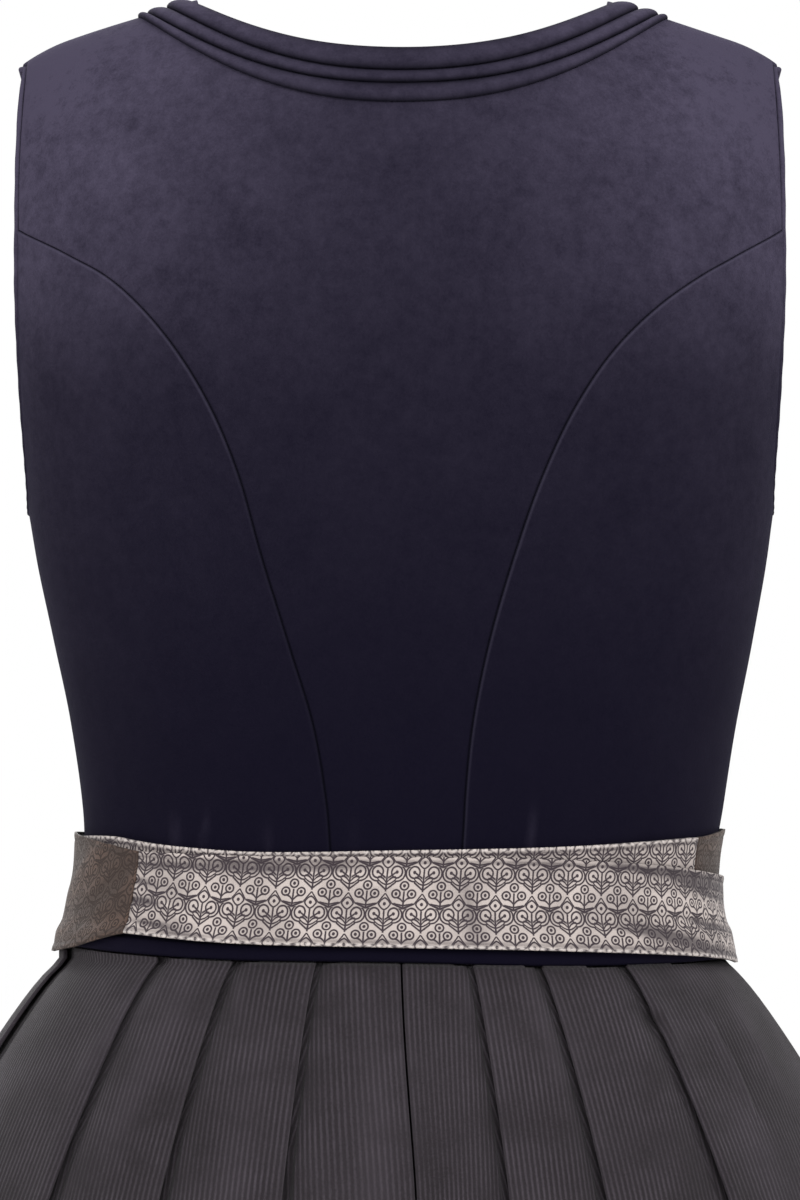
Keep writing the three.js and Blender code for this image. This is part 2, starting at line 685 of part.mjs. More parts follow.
// A narrow folded band between two lines of the neck table, on the outside of the bodice, from the centre front over
// both shoulders.
function addNeckBand(name, firstLine) {
  const profile = [
    { across: 0.03, lift: NECK_BAND_LIFT },
    { across: 0.03, lift: 1.6 },
    { across: 0.45, lift: 2.9 },
    { across: 0.97, lift: 2.4 },
    { across: 0.97, lift: NECK_BAND_LIFT },
  ];
  const frontSteps = 18;
  const backSteps = 9;
  const section = (side, along) =>
    profile.map(({ across, lift }) => {
      const { turn, root } = neckPlace(side, firstLine + across, along);
      const point = liftedBodicePoint(turn, placeHeight(turn, root), lift);
      if (along === -1) {
        point.x = side * SEAM_GAP;
      }
      return point;
    });
  const left = [];
  for (let i = -frontSteps; i <= backSteps; i += 1) {
    left.push(section(LEFT, i < 0 ? i / frontSteps : i / backSteps));
  }
  const right = [];
  for (let i = backSteps - 1; i >= -frontSteps; i -= 1) {
    right.push(section(RIGHT, i < 0 ? i / frontSteps : i / backSteps));
  }
  addSwept(name, [...left, ...right], false, VELVET);
}

// The rolled edge that closes round an armhole, just clear of the panels' edges.
function addArmholeBinding(side) {
  const radius = 1.4;
  const corners = 6;
  const edgeLine = (isBack) => {
    const topZ = isBack ? BACK_PRINCESS_TOP_Z : FRONT_PRINCESS_TOP_Z;
    return [...YOKE_ROWS, ...lowerArmhole(topZ)].map((z) => {
      const point = bodicePoint(side * column(ARMHOLE, "z", isBack ? "back" : "front", z), z);
      return { point, normal: bodiceNormal(point, isBack) };
    });
  };
  const edge = [...edgeLine(true), ...edgeLine(false).slice(1, -1).reverse()];
  const middle = new THREE.Vector3();
  edge.forEach(({ point }) => middle.addScaledVector(point, 1 / edge.length));
  const sections = edge.map(({ point, normal }, i) => {
    const before = edge.at(i - 1).point;
    const after = edge[(i + 1) % edge.length].point;
    const along = after.clone().sub(before).normalize();
    const inHole = new THREE.Vector3().crossVectors(along, normal).normalize();
    if (inHole.dot(middle.clone().sub(point)) < 0) {
      inHole.negate();
    }
    const centre = point.clone().addScaledVector(inHole, radius + 2.6 * SEAM_GAP).addScaledVector(normal, -0.6);
    const up = new THREE.Vector3().crossVectors(inHole, along).normalize();
    return evenly(corners - 1, (share) => {
      const angle = (2 * Math.PI * share * (corners - 1)) / corners;
      return centre
        .clone()
        .addScaledVector(inHole, radius * Math.cos(angle))
        .addScaledVector(up, radius * Math.sin(angle));
    });
  });
  addSwept(`armhole_binding_${side === LEFT ? "left" : "right"}`, sections, true, VELVET);
}

function addWaistBinding() {
  const columns = 48;
  const layer = (lift) =>
    [BINDING_HEIGHT + 0.3, 0.3].map((height) =>
      evenly(columns, (share) => {
        const turn = -179.8 + 359.6 * share;
        return liftedBodicePoint(turn, waistSeamZ(turn) + height, lift);
      }),
    );
  addWall("waist_binding", layer(2.0), layer(NECK_BAND_LIFT), VELVET);
}

// Moves a path of turn and rise sideways by a distance, with its corners mitred. Turns are measured in millimetres
// by the degree's length.
function offsetPath(path, distance, degree) {
  const towards = (from, to) => {
    const way = new THREE.Vector2((to.turn - from.turn) * degree, to.rise - from.rise);
    return way.normalize();
  };
  return path.map((point, i) => {
    const before = i > 0 ? towards(path[i - 1], point) : towards(point, path[i + 1]);
    const after = i + 1 < path.length ? towards(point, path[i + 1]) : before;
    const across = new THREE.Vector2(-before.y - after.y, before.x + after.x);
    const mitre = Math.max(1 + before.dot(after), 0.5);
    return {
      turn: point.turn + (across.x / mitre) * (distance / degree),
      rise: point.rise + (across.y / mitre) * distance,
    };
  });
}

// One side of the skirt from the centre front to the centre back at a height, as turn and rise of the cloth's middle.
// Each pleat's visible face ends in a fold, goes back under itself, and comes forward again as the next face.
function pleatHalf(side, z) {
  const depth = Math.max(WAIST_SEAM_Z - z, 0);
  const spacing = 2.0 + (4.5 * depth) / SKIRT_LENGTH;
  const roundness = spacing * 0.45;
  const key = side === LEFT ? "left" : "right";
  const centre = { [key]: side * CENTRE_BACK_FOLD };
  const folds = [centre, ...PLEAT_FOLDS].map((fold) => fold[key]);
  const path = [];
  for (let k = folds.length - 1; k >= 0; k -= 1) {
    const degree = skirtDegree(folds[k], z);
    const pitch = degree * (k > 0 ? folds[k] - folds[k - 1] : folds[1] - folds[0]);
    const spare = Math.max((CUT_PER_PLEAT - pitch) / 2, 2 * roundness + 2);
    const underlap = Math.min(UNDERLAP_SHARE * pitch, spare);
    const opening = k === 0 ? CENTRE_BACK_OPENING / 2 : 0;
    const add = (millimetres, layer) => {
      const turn = side * (folds[k] + (opening + millimetres) / degree);
      path.push({ turn, rise: -SKIRT_CLOTH / 2 - layer * spacing, fold: k });
    };
    add(roundness, 0);
    add(0, 0.5);
    add(roundness, 1);
    add(underlap - roundness, 1);
    add(underlap, 1.5);
    add(underlap - roundness, 2);
    if (k > 0) {
      const nextDegree = skirtDegree(folds[k - 1], z);
      const faceStart = folds[k] - (roundness + 1) / degree;
      const risen = folds[k - 1] + (underlap + roundness + 1.5) / nextDegree;
      path.push({ turn: side * faceStart, rise: -SKIRT_CLOTH / 2 - 2 * spacing, fold: k, isFace: true });
      path.push({ turn: side * Math.min(risen, faceStart - 1.5 / degree), rise: -SKIRT_CLOTH / 2, fold: k });
    }
  }
  return path;
}

// The whole skirt's path from its seam in a fold on one side round to the same seam, split where its seams are.
function skirtPaths(z) {
  const left = pleatHalf(LEFT, z);
  const right = pleatHalf(RIGHT, z).reverse();
  const isSeam = (point, next) => next.isFace && SKIRT_SEAM_FOLDS.includes(point.fold) && !point.isFace;
  const paths = [[]];
  left.forEach((point, i) => {
    paths.at(-1).push(point);
    if (i + 1 < left.length && isSeam(point, left[i + 1])) {
      paths.push([]);
    }
  });
  paths.push([]);
  right.forEach((point, i) => {
    if (i > 0 && isSeam(point, right[i - 1])) {
      paths.push([]);
    }
    paths.at(-1).push(point);
  });
  return paths;
}

// Skirt widths, named from the wearer's left front round the back to the right front.
function addSkirt() {
  const heights = SKIRT_ROWS.map((depth) => WAIST_SEAM_Z - depth);
  const rows = heights.map((z) => skirtPaths(z));
  const joined = rows.map((paths) => {
    const around = paths.at(-1).map((point) => ({ ...point, turn: point.turn + 360 }));
    const front = [...around, ...frontFace(around.at(-1), paths[0][0]), ...paths[0]];
    return [front, ...paths.slice(1, -1)];
  });
  const names = ["skirt_front", "skirt_side_left", "skirt_back_left", "skirt_back_right", "skirt_side_right"];
  names.forEach((name, n) => {
    const layer = (distance) =>
      joined.map((paths, row) => {
        const z = heights[row];
        const middle = paths[n][Math.floor(paths[n].length / 2)].turn;
        const degree = skirtDegree(middle, z);
        return offsetPath(withSeamEnds(paths, n, degree), distance, degree).map(({ turn, rise }) => {
          const seamTurn = turn > 180 ? turn - 360 : turn;
          return skirtPoint(turn, skirtLevel(seamTurn, SKIRT_ROWS[row]), rise);
        });
      });
    addWall(name, layer(SKIRT_CLOTH / 2), layer(-SKIRT_CLOTH / 2), SKIRT_WOOL);
  });
}

// Points of the plain box panel at the centre front, between its two folds.
function frontFace(from, to) {
  return [0.25, 0.5, 0.75].map((share) => ({
    turn: from.turn + (to.turn - from.turn) * share,
    rise: -SKIRT_CLOTH / 2,
  }));
}

// A width's path, carried on at both ends along the inner layer to just short of the middle of the fold's underlap,
// where it meets its neighbours.
function withSeamEnds(paths, n, degree) {
  const count = paths.length;
  const meeting = (from, to, point) => {
    const turnAway = THREE.MathUtils.euclideanModulo(to.turn - from.turn + 180, 360) - 180;
    const way = Math.sign(turnAway);
    const isStart = point === to;
    const half = from.turn + turnAway / 2;
    const near = half + ((isStart ? way : -way) * SEAM_GAP) / degree;
    const around = 360 * Math.round((point.turn - near) / 360);
    const sag = (turnAway * degree) ** 2 / (8 * WAIST_RADIUS);
    return { turn: near + around, rise: point.rise - sag };
  };
  const [first, last] = [paths[n][0], paths[n].at(-1)];
  const start = meeting(paths[(n + count - 1) % count].at(-1), first, first);
  const end = meeting(last, paths[(n + 1) % count][0], last);
  return [start, ...paths[n], end];
}

// How far a layer at the waist stands off as it passes over the gathers and pleats below.
function flareLift(flare, z) {
  return flare * THREE.MathUtils.smoothstep(FLARE_START_Z - z, 0, FLARE_HEIGHT);
}

// A strip round the waist between its top and bottom edges, lifted off the bodice by a function of the turn.
function addStrip(name, edges, from, to, liftAt, cloth, look) {
  const columns = Math.ceil(Math.abs(to - from) / 7);
  const levels = [0, 0.35, 0.7, 1];
  const hasFlare = "flare" in edges[0];
  const layer = (extra) =>
    levels.map((level) =>
      evenly(columns, (share) => {
        const turn = from + (to - from) * share;
        const top = column(edges, "turn", "top", turn);
        const bottom = column(edges, "turn", "bottom", turn);
        const z = top + (bottom - top) * level;
        const flare = hasFlare ? flareLift(column(edges, "turn", "flare", turn), z) : 0;
        return liftedBodicePoint(turn, z, liftAt(turn) + flare + extra);
      }),
    );
  addWall(name, layer(cloth), layer(0), look);
}

// The apron's waistband lies on the bodice from its right end round the front, and passes over the sash's inner pass
// from the bow on, up to its left end.
function addWaistLayers() {
  const joined = [
    ...WAISTBAND_LEFT_EDGES.map((row) => ({ ...row, turn: row.turn - 360 })).slice(0, -1),
    ...WAISTBAND_EDGES,
  ];
  const waistbandLift = (turn) => {
    const step = THREE.MathUtils.smoothstep(-turn, -WAISTBAND_STEP.from, -WAISTBAND_STEP.to);
    return FIRST_LAYER + (SECOND_LAYER - FIRST_LAYER) * step;
  };
  addStrip("apron_waistband", joined, joined[0].turn, -64, waistbandLift, SASH_CLOTH, DARK_JACQUARD);
  addStrip("sash_inner_pass", SASH_INNER_EDGES, -63.8, 142, () => FIRST_LAYER, SASH_CLOTH, PALE_JACQUARD);
  addStrip("sash_outer_pass", SASH_OUTER_EDGES, -207, 53.2, () => SECOND_LAYER, SASH_CLOTH, PALE_JACQUARD);
}

// Size of the apron's gather waves at a height.
function apronWave(z) {
  const share = THREE.MathUtils.clamp((WAIST_SEAM_Z - z) / SKIRT_LENGTH, 0, 1);
  return APRON_WAVE_TOP + (APRON_WAVE_HEM - APRON_WAVE_TOP) * share ** 0.7;
}

// Lift of the apron's inside above the skirt, which is a little more where it leaves the waistband.
function apronInside(z) {
  const share = THREE.MathUtils.clamp((WAIST_SEAM_Z - z) / 30, 0, 1);
  return APRON_TOP_LIFT + (APRON_LIFT - APRON_TOP_LIFT) * share;
}

// Lower edge of the waistband at a turn in front, from 90 on the wearer's left to 270 on the right.
function waistbandBottom(turn) {
  if (turn < 142) {
    return column(WAISTBAND_LEFT_EDGES, "turn", "bottom", turn);
  }
  return column(WAISTBAND_EDGES, "turn", "bottom", turn - 360);
}

function addApron() {
  const stepsPerGather = 4;
  const columns = APRON_GATHERS * stepsPerGather;
  const hem = HEM_Z + APRON_SHORTER_THAN_SKIRT;
  const depths = [0, 14, 50, 130, 330];
  const layer = (extra) => {
    const rowAt = (heightAt) =>
      evenly(columns, (share) => {
        const turn = APRON_EDGE_TURN + (360 - 2 * APRON_EDGE_TURN) * share;
        const z = heightAt(turn > 180 ? turn - 360 : turn, turn);
        const wave = apronWave(z) * (1 - Math.cos(2 * Math.PI * APRON_GATHERS * share));
        return overGarment(turn > 180 ? turn - 360 : turn, z, apronInside(z) + wave + extra);
      });
    const top = rowAt((_, turn) => waistbandBottom(turn) - SEAM_GAP);
    const lower = depths.map((depth) => rowAt((seamTurn) => skirtLevel(seamTurn, depth)));
    return [top, ...lower, rowAt(() => hem)];
  };
  addWall("apron_skirt", layer(APRON_CLOTH), layer(0), DARK_JACQUARD);
}

// The bow's knot: a rounded pad over the sash.
function addKnot() {
  const around = 12;
  const rings = 7;
  const lift = SECOND_LAYER + SASH_CLOTH - KNOT_SINK;
  const sections = [];
  for (let ring = 0; ring <= rings; ring += 1) {
    const height = -Math.cos((Math.PI * (ring + 0.35)) / (rings + 0.7));
    const size = Math.sqrt(1 - height ** 2) ** 0.6;
    sections.push(
      evenly(around - 1, (share) => {
        const angle = (2 * Math.PI * share * (around - 1)) / around;
        const turn = BOW_TURN + (0.5 * KNOT.width * size * Math.cos(angle)) / BOW_DEGREE;
        const out = lift + 0.5 * KNOT.depth * (1 + size * Math.sin(angle));
        return liftedBodicePoint(turn, BOW_Z + 0.5 * KNOT.height * height, out);
      }),
    );
  }
  addSwept("bow_knot", sections, false, PALE_JACQUARD);
}

// A loop of the bow: the sash goes out from the knot along the waist, turns, and comes back over itself. It widens
// from the knot outwards.
function addLoop(side) {
  const start = KNOT.width / 2 + 0.6;
  const path = [
    ...evenly(6, (share) => ({ out: start + (0.88 * LOOP_REACH - start) * share, rise: LOOP_UNDER_RISE })),
    { out: 0.97 * LOOP_REACH, rise: 8 },
    { out: LOOP_REACH, rise: 12.5 },
    { out: 0.94 * LOOP_REACH, rise: 17.5 },
    { out: 0.75 * LOOP_REACH, rise: 20.5 },
    { out: 0.5 * LOOP_REACH, rise: 20.5 },
    { out: 0.32 * LOOP_REACH, rise: 18 },
    { out: start, rise: 13 },
  ];
  const toTurns = path.map(({ out, rise }) => ({ turn: BOW_TURN + (side * out) / BOW_DEGREE, rise }));
  const spread = (out) => 12 + 7 * Math.sin((Math.PI / 2) * Math.min(out / LOOP_REACH, 1));
  const layer = (distance) => {
    const line = offsetPath(toTurns, distance, BOW_DEGREE);
    return [-1, 0, 1].map((level) =>
      line.map(({ turn, rise }, i) => liftedBodicePoint(turn, BOW_Z + 5 + level * spread(path[i].out), rise)),
    );
  };
  const name = `bow_loop_${side < 0 ? "left" : "right"}`;
  addWall(name, layer(SASH_CLOTH / 2), layer(-SASH_CLOTH / 2), PALE_JACQUARD);
}

// A tail of the bow hangs from the knot over the apron, in the skirt's own rows.
function addTail(side) {
  const topZ = BOW_Z - KNOT.height / 2 - 1.2;
  const endZ = skirtLevel(BOW_TURN, TAIL_END_DEPTH);
  const heights = [topZ, ...[0, 14, 50, 130, TAIL_END_DEPTH].map((depth) => skirtLevel(BOW_TURN, depth))];
  const layer = (extra) =>
    heights.map((z) => {
      const level = (topZ - z) / (topZ - endZ);
      const halfWidth = 9.5 + 11 * THREE.MathUtils.smoothstep(level, 0, 0.2);
      const middle = side * (11.5 + 26 * level ** 0.5);
      return evenly(4, (share) => {
        const across = middle + halfWidth * (2 * share - 1);
        const cut = z === endZ ? Math.abs(across) * 0.4 : 0;
        const turn = BOW_TURN + across / skirtDegree(BOW_TURN, z);
        const lift = apronInside(z) + APRON_CLOTH + 2 * apronWave(z) + 1.0 + extra;
        return overGarment(turn, z + cut, lift);
      });
    });
  const name = `bow_tail_${side < 0 ? "left" : "right"}`;
  addWall(name, layer(SASH_CLOTH), layer(0), PALE_JACQUARD);
}

addBodice();
addNeckBand("neck_band_inner", 0);
addNeckBand("neck_band_middle", 1);
addNeckBand("neck_band_outer", 2);
addArmholeBinding(LEFT);
addArmholeBinding(RIGHT);
addWaistBinding();
addSkirt();
addWaistLayers();
addApron();
addKnot();
addLoop(-1);
addLoop(1);
addTail(-1);
addTail(1);

export default dirndl;
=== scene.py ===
"""Looks of the dirndl: velvet bodice, ribbed pleated skirt, jacquard apron and sash, with the stage they stand on.

Places are in millimetres until a mesh is made. A place on the garment is given by its turn, the angle in degrees
round the figure from the centre back, positive towards the wearer's left, and its height z.
"""
import math

import bmesh
import bpy
import numpy as np
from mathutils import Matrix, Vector


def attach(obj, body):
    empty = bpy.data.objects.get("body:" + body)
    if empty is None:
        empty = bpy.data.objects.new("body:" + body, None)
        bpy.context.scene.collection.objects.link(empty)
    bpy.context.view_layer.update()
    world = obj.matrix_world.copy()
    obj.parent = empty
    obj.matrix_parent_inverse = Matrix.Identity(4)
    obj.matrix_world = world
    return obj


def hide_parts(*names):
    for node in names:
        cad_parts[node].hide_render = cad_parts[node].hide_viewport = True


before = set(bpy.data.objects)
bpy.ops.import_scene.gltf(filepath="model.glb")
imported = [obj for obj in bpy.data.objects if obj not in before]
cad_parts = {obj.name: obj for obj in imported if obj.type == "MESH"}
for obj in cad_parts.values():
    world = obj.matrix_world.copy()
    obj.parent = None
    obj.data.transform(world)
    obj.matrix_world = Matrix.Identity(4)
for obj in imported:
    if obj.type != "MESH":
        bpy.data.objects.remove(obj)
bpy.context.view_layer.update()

bl_info = {
    "name": "Dirndl",
    "version": (1, 0, 0),
    "blender": (4, 5, 0),
    "location": "View3D > Sidebar > Dirndl",
    "description": "Makes the cloth pieces of a dirndl with apron and sash round its packed solids",
    "category": "Add Mesh",
}

MM = 0.001
LEFT, RIGHT = 1, -1
SIDES = {LEFT: "left", RIGHT: "right"}

# Heights of the garment, the walls of its cloths, and the gap between the pieces, as in the solids
WAIST_SEAM_Z = -407
SKIRT_LENGTH = 700
HEM_Z = WAIST_SEAM_Z - SKIRT_LENGTH
APRON_SHORTER_THAN_SKIRT = 28
BODICE_CLOTH = 2.0
BINDING_CLOTH = 1.2
SKIRT_CLOTH = 1.2
APRON_CLOTH = 1.3
SASH_CLOTH = 1.3
SEAM_GAP = 0.3
# How far a panel's edge reaches over that gap here, where a seam has to look closed
SEAM_LAP = 0.3

# The shoulder line: its height over the figure's middle, how it slopes and is rounded, and how it droops at the tips
SHOULDER_PEAK = 50
SHOULDER_SLOPE = 0.35
SHOULDER_ROUNDING = 20
SHOULDER_DROOP_START = 145
SHOULDER_DROOP = 0.009
# How far below the shoulder line the body reaches its full depth
BACK_ROLL_HEIGHT = 150
FRONT_ROLL_HEIGHT = 175
# Rows of a panel are spaced by this power of the drop below the shoulder line
ROOT_POWER = 0.55

# The bodice's outside at each height: half width, shift to the left, depths behind and in front, and how squared off
FIGURE = {
    "z": (-425, -407, -385, -363, -340, -302, -267, -232, -205, -160, -100, -40, 40),
    "half": (148.6, 145, 140.2, 138.2, 140.2, 145.7, 152.9, 159.7, 163.6, 169.5, 175.5, 176, 172),
    "shift": (3.2, 3.2, 2.4, 0.4, -1.5, -1.7, -1.3, -0.6, -0.2, 0, 0, 0, 0),
    "back": (103, 101, 97, 95, 95.5, 98, 101.5, 104.5, 106, 107, 106, 104, 102),
    "back_flat": (0.2, 0.2, 0.3, 0.3, 0.35, 0.4, 0.45, 0.45, 0.45, 0.45, 0.45, 0.4, 0.4),
    "front": (106, 104, 100.5, 98.5, 100, 108, 119, 129, 134, 133, 125, 116, 110),
    "front_flat": (0.2, 0.2, 0.2, 0.2, 0.3, 0.5, 0.7, 0.9, 1, 0.9, 0.6, 0.4, 0.3),
}
# The armhole's edge as a turn at each height, and the princess seams as the distance from the middle
ARMHOLE = {
    "z": (-213, -210, -203, -185, -160, -125, -88, -55, -30, -12),
    "back": (90, 86.5, 83, 79.8, 77.4, 74.2, 71.6, 70.7, 69.9, 69.2),
    "front": (90, 94, 98, 105, 112, 119, 119.8, 117, 112.5, 108.2),
}
UNDERARM_Z = -213
ARMHOLE_STEPS = 6
PRINCESS_TOP_Z = {True: -88, False: -95}
BACK_PRINCESS = {
    "z": (-410, -330, -290, -250, -207, -178, -150, -125, -106, -88),
    "left": (27, 33, 41.4, 54.8, 66.5, 76.6, 91.2, 110, 132, 169),
    "right": (25, 28.8, 33.8, 43.6, 57.5, 69.8, 85.8, 108.5, 135, 169),
}
FRONT_PRINCESS = {
    "z": (-410, -330, -280, -240, -207, -180, -150, -120, -95),
    "x": (56, 60, 71, 82, 89, 94, 103, 121, 153),
}
# Heights of the panels' rows, down the princess seams, the side seams and the armholes above them
SEAM_ROWS = (0, -99, -108, -121, -140, -165, -195, -232, -270, -305, -334, -355, -374, -391, -407)
SIDE_ROWS = (-213, -221, -230, -240, -251, -264, -280, -298, -315, -330, -345, -360, -377, -393, -407)
YOKE_ROWS = (-14.5, -18, -26, -41, -63)
# The neckline and the grooves between its bands: half width at the shoulder, and depth behind and in front
NECK = {"line": (0, 1, 2, 3), "shoulder_x": (92, 102, 110.5, 114.5), "back": (39, 49.5, 55, 63.5),
        "front": (185, 195.5, 202, 210.5)}
NECK_BACK_CURVE = 2.16
NECK_RIGHT_WIDER = 1.022
NECK_FRONT_CURVE = 0.833
NECK_FRONT_SPACING = 2.4

# Height of the waist seam round the figure, the binding above it, and its distance from the bodice's lower edge
WAIST_SEAM = {
    "turn": (-180, -90, -52, -30, 0, 30, 52, 75, 105, 180),
    "z": (-405.5, -406, -408, -408.8, -407, -406, -403.5, -401, -401.5, -405.5),
}
BINDING_HEIGHT = 7
WAIST_EASE = 0.6

# Knife pleats: the turn of each fold on each side, counted from the centre back. At the right they are up to 7
# degrees further round than in the solids, as the photo shows them, and the centre back is nearly closed.
PLEAT_FOLDS = {
    LEFT: (-0.9, 13.3, 28.6, 44.8, 81, 95, 109, 123, 137, 151.5, 166),
    RIGHT: (0.9, 13.7, 26.0, 43.6, 99, 109, 120, 131, 142.5, 154, 166),
}
CENTRE_BACK_OPENING = 0.9
# Cloth for each pleat, and the most of a pleat's width that lies under its neighbour
CUT_PER_PLEAT = 118
UNDERLAP_SHARE = 0.7
# Distance between the layers of a fold at the waist, what it grows by to the hem, and a fold's roundness as its share
LAYER_SPACING = (2.0, 4.5)
FOLD_ROUNDNESS = 0.45
# The folds, counted from the centre back, in which the skirt's widths are joined
SKIRT_SEAM_FOLDS = (4, 8)
# The skirt's outermost surface: its sizes at the waist, how squared off it is, and how it spreads below. The first
# two of these are widths gained over a depth, and the last is gained all the way down.
SKIRT_WAIST = {"half": 145.6, "back": 101.2, "front": 104.2, "shift": 3.2}
SKIRT_SQUARED = 0.2
SEAM_STEP = (3, 5)
HIP_BELL = (90, 155)
FLARE = 0.2
DEPTH_SHARE = 0.85

# Layers at the waist, as lifts from the outside of the bodice
FIRST_LAYER = 1.0
SECOND_LAYER = 2.9
# The edges of each strip round its turns, and how far its lower part flares out from the body
SASH_OUTER = {
    "turn": (-207, -180, -150, -125, -111, -102, -90, -75, -54, -28, 0, 28, 53),
    "top": (-357, -359, -363, -366, -367.9, -369, -370, -368.4, -364.9, -361.8, -360.9, -360.6, -358.8),
    "bottom": (-395.4, -396.5, -397.2, -400.5, -403.5, -405.9, -408.8, -406.9, -404.5, -402.5, -401.2, -399.4, -395.1),
    "flare": (0.4, 0.4, 3.4, 3.4, 3.4, 3.0, 1.7, 1.6, 1.6, 1.6, 1.6, 1.6, 1.6),
}
SASH_INNER = {
    "turn": (-64, -52, -28, 0, 26, 43, 52, 64, 90, 142),
    "top": (-352.6, -353.9, -356.6, -358, -358.8, -356.6, -354.8, -352.2, -353, -356),
    "bottom": (-391,) * 10,
    "flare": (0,) * 10,
}
SASH_OUTER_ENDS = (-207, 53.2)
SASH_INNER_ENDS = (-66.8, 142)
WAISTBAND = {
    "turn": (-306.6, -290, -270, -255, -235, -217.5, -209, -180, -110, -90, -67),
    "top": (-358.8, -354, -350.9, -351, -352.5, -354, -354, -352, -350, -349.2, -352.6),
    "bottom": (-395.1, -401.6, -404.0, -402.4, -398.2, -395.8, -395.8, -397.5, -397.5, -397, -396),
    "flare": (1.6, 1.2, 1, 0.8, 0.2, 0, 0, 0, 0, 0, 0),
}
# The waistband climbs over the inner pass between these turns
WAISTBAND_STEP = (-209, -216)
FLARE_START_Z = -389
FLARE_HEIGHT = 7

APRON_EDGE_TURN = 104
APRON_GATHERS = 18
# How far the apron's inside is from the skirt, low down and at the waist, and over what depth that changes
APRON_LIFT = 1.3
APRON_TOP_LIFT = 2.4
APRON_LIFT_DEPTH = 30
# Half height of the gathers at the waist and at the hem, and how fast it grows in between
APRON_WAVE = (0.7, 4.5)
APRON_WAVE_POWER = 0.7
APRON_HEM = 4.5

# The jacquard's motifs: one is centred at this x, and its side buds are this far above the sash's lower edge
MOTIF_CENTRE_X = 6.66
MOTIF_ABOVE_EDGE = 14.9

# The bow: its place, the millimetres round the body for a degree there, its knot, loops and tails
BOW_TURN = 147.6
BOW_Z = -375
BOW_DEGREE = 2.1
KNOT = {"width": 30, "height": 42, "depth": 12}
KNOT_SUNK = 0.5
LOOP_REACH = 74
LOOP_UNDER_RISE = 5.3
LOOP_RAISED = 5
LOOP_HALF_WIDTH = {"at_knot": 12, "more_outside": 7, "flat": 19}
TAIL_HALF_WIDTH = {"at_knot": 9.5, "more_below": 11}
TAIL_END_DEPTH = 330
# The stitched line along an edge: distance from the edge and half width
TRIM_LINE = (0.7, 0.55)

# Creases given one by one, a column for each: x and z of the middle, lean from upright in degrees, half length, half
# width and depth, which is negative for a trough. Those of the back and of the front are kept apart.
BODICE_BACK_CREASES = (
    (98, -352, 4, 9, 1.8, 0.9), (85, -350, -6, 8, 1.6, 0.8), (58, -353, 8, 7, 1.5, 0.7),
    (-57, -350, -5, 11, 1.3, 1.0), (118, -338, 18, 22, 5, -0.9), (-112, -340, -16, 24, 6, -0.9),
    (20, -352, 0, 9, 3, 0.2), (-22, -351, 3, 10, 3, -0.4), (105, -300, 35, 26, 7, 0.7),
    (-98, -304, -32, 28, 7, 0.7), (138, -232, 62, 26, 7, -0.8), (-139, -236, -60, 26, 7, -0.8),
    (140, -150, 40, 24, 8, 0.8), (-143, -147, -38, 26, 8, 0.8), (0, -300, 88, 60, 12, -0.5),
    (6, -120, 86, 80, 16, -0.6),
)
BODICE_FRONT_CREASES = (
    (30, -346, 6, 14, 3, 0.7), (-34, -348, -5, 13, 3, 0.7), (95, -340, 14, 20, 5, -0.9),
    (-97, -338, -15, 22, 5, -0.9), (132, -226, 58, 24, 7, -0.9), (-133, -230, -60, 24, 7, -0.9),
    (118, -140, 45, 22, 8, 0.7), (-119, -142, -44, 24, 8, 0.7), (0, -262, 80, 45, 12, -0.6),
    (70, -300, 30, 24, 8, 0.6), (-72, -296, -30, 24, 8, 0.6),
)
SKIRT_CREASES = (
    (45, -427, 84, 16, 1.6, 0.5), (38, -453, 80, 18, 1.8, -0.6), (-108, -430, 64, 8, 2.4, -2.4),
    (-64, -436, 20, 30, 5, 0.7), (40, -431, 86, 15, 1.5, -0.5), (-128, -424, 30, 12, 2.4, -0.8),
    (-145, -450, 28, 27, 2, 1.3), (-150.5, -448, 26, 30, 1.8, -1.3), (-157, -446, 24, 36, 2.3, 1.4),
    (-166, -452, 25, 34, 2.2, -1.1), (-133, -443, 31, 24, 2, -0.9), (-122, -440, 34, 20, 2, 0.6),
    (-118, -421, 78, 11, 1.4, -0.8), (-122, -416, 70, 9, 1.3, 0.6), (-60, -500, 84, 16, 1.8, -0.6),
    (-20, -470, 86, 15, 1.8, -0.5), (112, -424, -40, 12, 3, 0.7), (128, -440, -34, 24, 3.5, 0.9),
    (-30, -420, 4, 9, 2.4, 0.6), (70, -421, -10, 8, 2.4, 0.6), (110, -452, -24, 40, 6, 0.8),
    (-152, -470, 26, 44, 6, 0.8), (10, -500, 2, 60, 8, 0.8), (85, -560, -12, 70, 9, 1.1),
    (-80, -590, 14, 70, 9, 1.0), (190, -640, -16, 90, 12, 1.3), (-200, -620, 18, 90, 12, 1.3),
    (40, -720, -6, 90, 11, -1.2), (-35, -760, 7, 100, 12, -1.2), (150, -850, -12, 100, 13, 1.3),
    (-150, -880, 12, 100, 13, -1.3), (0, -930, 3, 110, 12, 1.2), (250, -900, -16, 110, 14, -1.3),
    (-258, -930, 16, 110, 14, 1.3), (90, -1010, -8, 80, 11, 1.2), (-95, -1020, 8, 80, 11, 1.2),
)
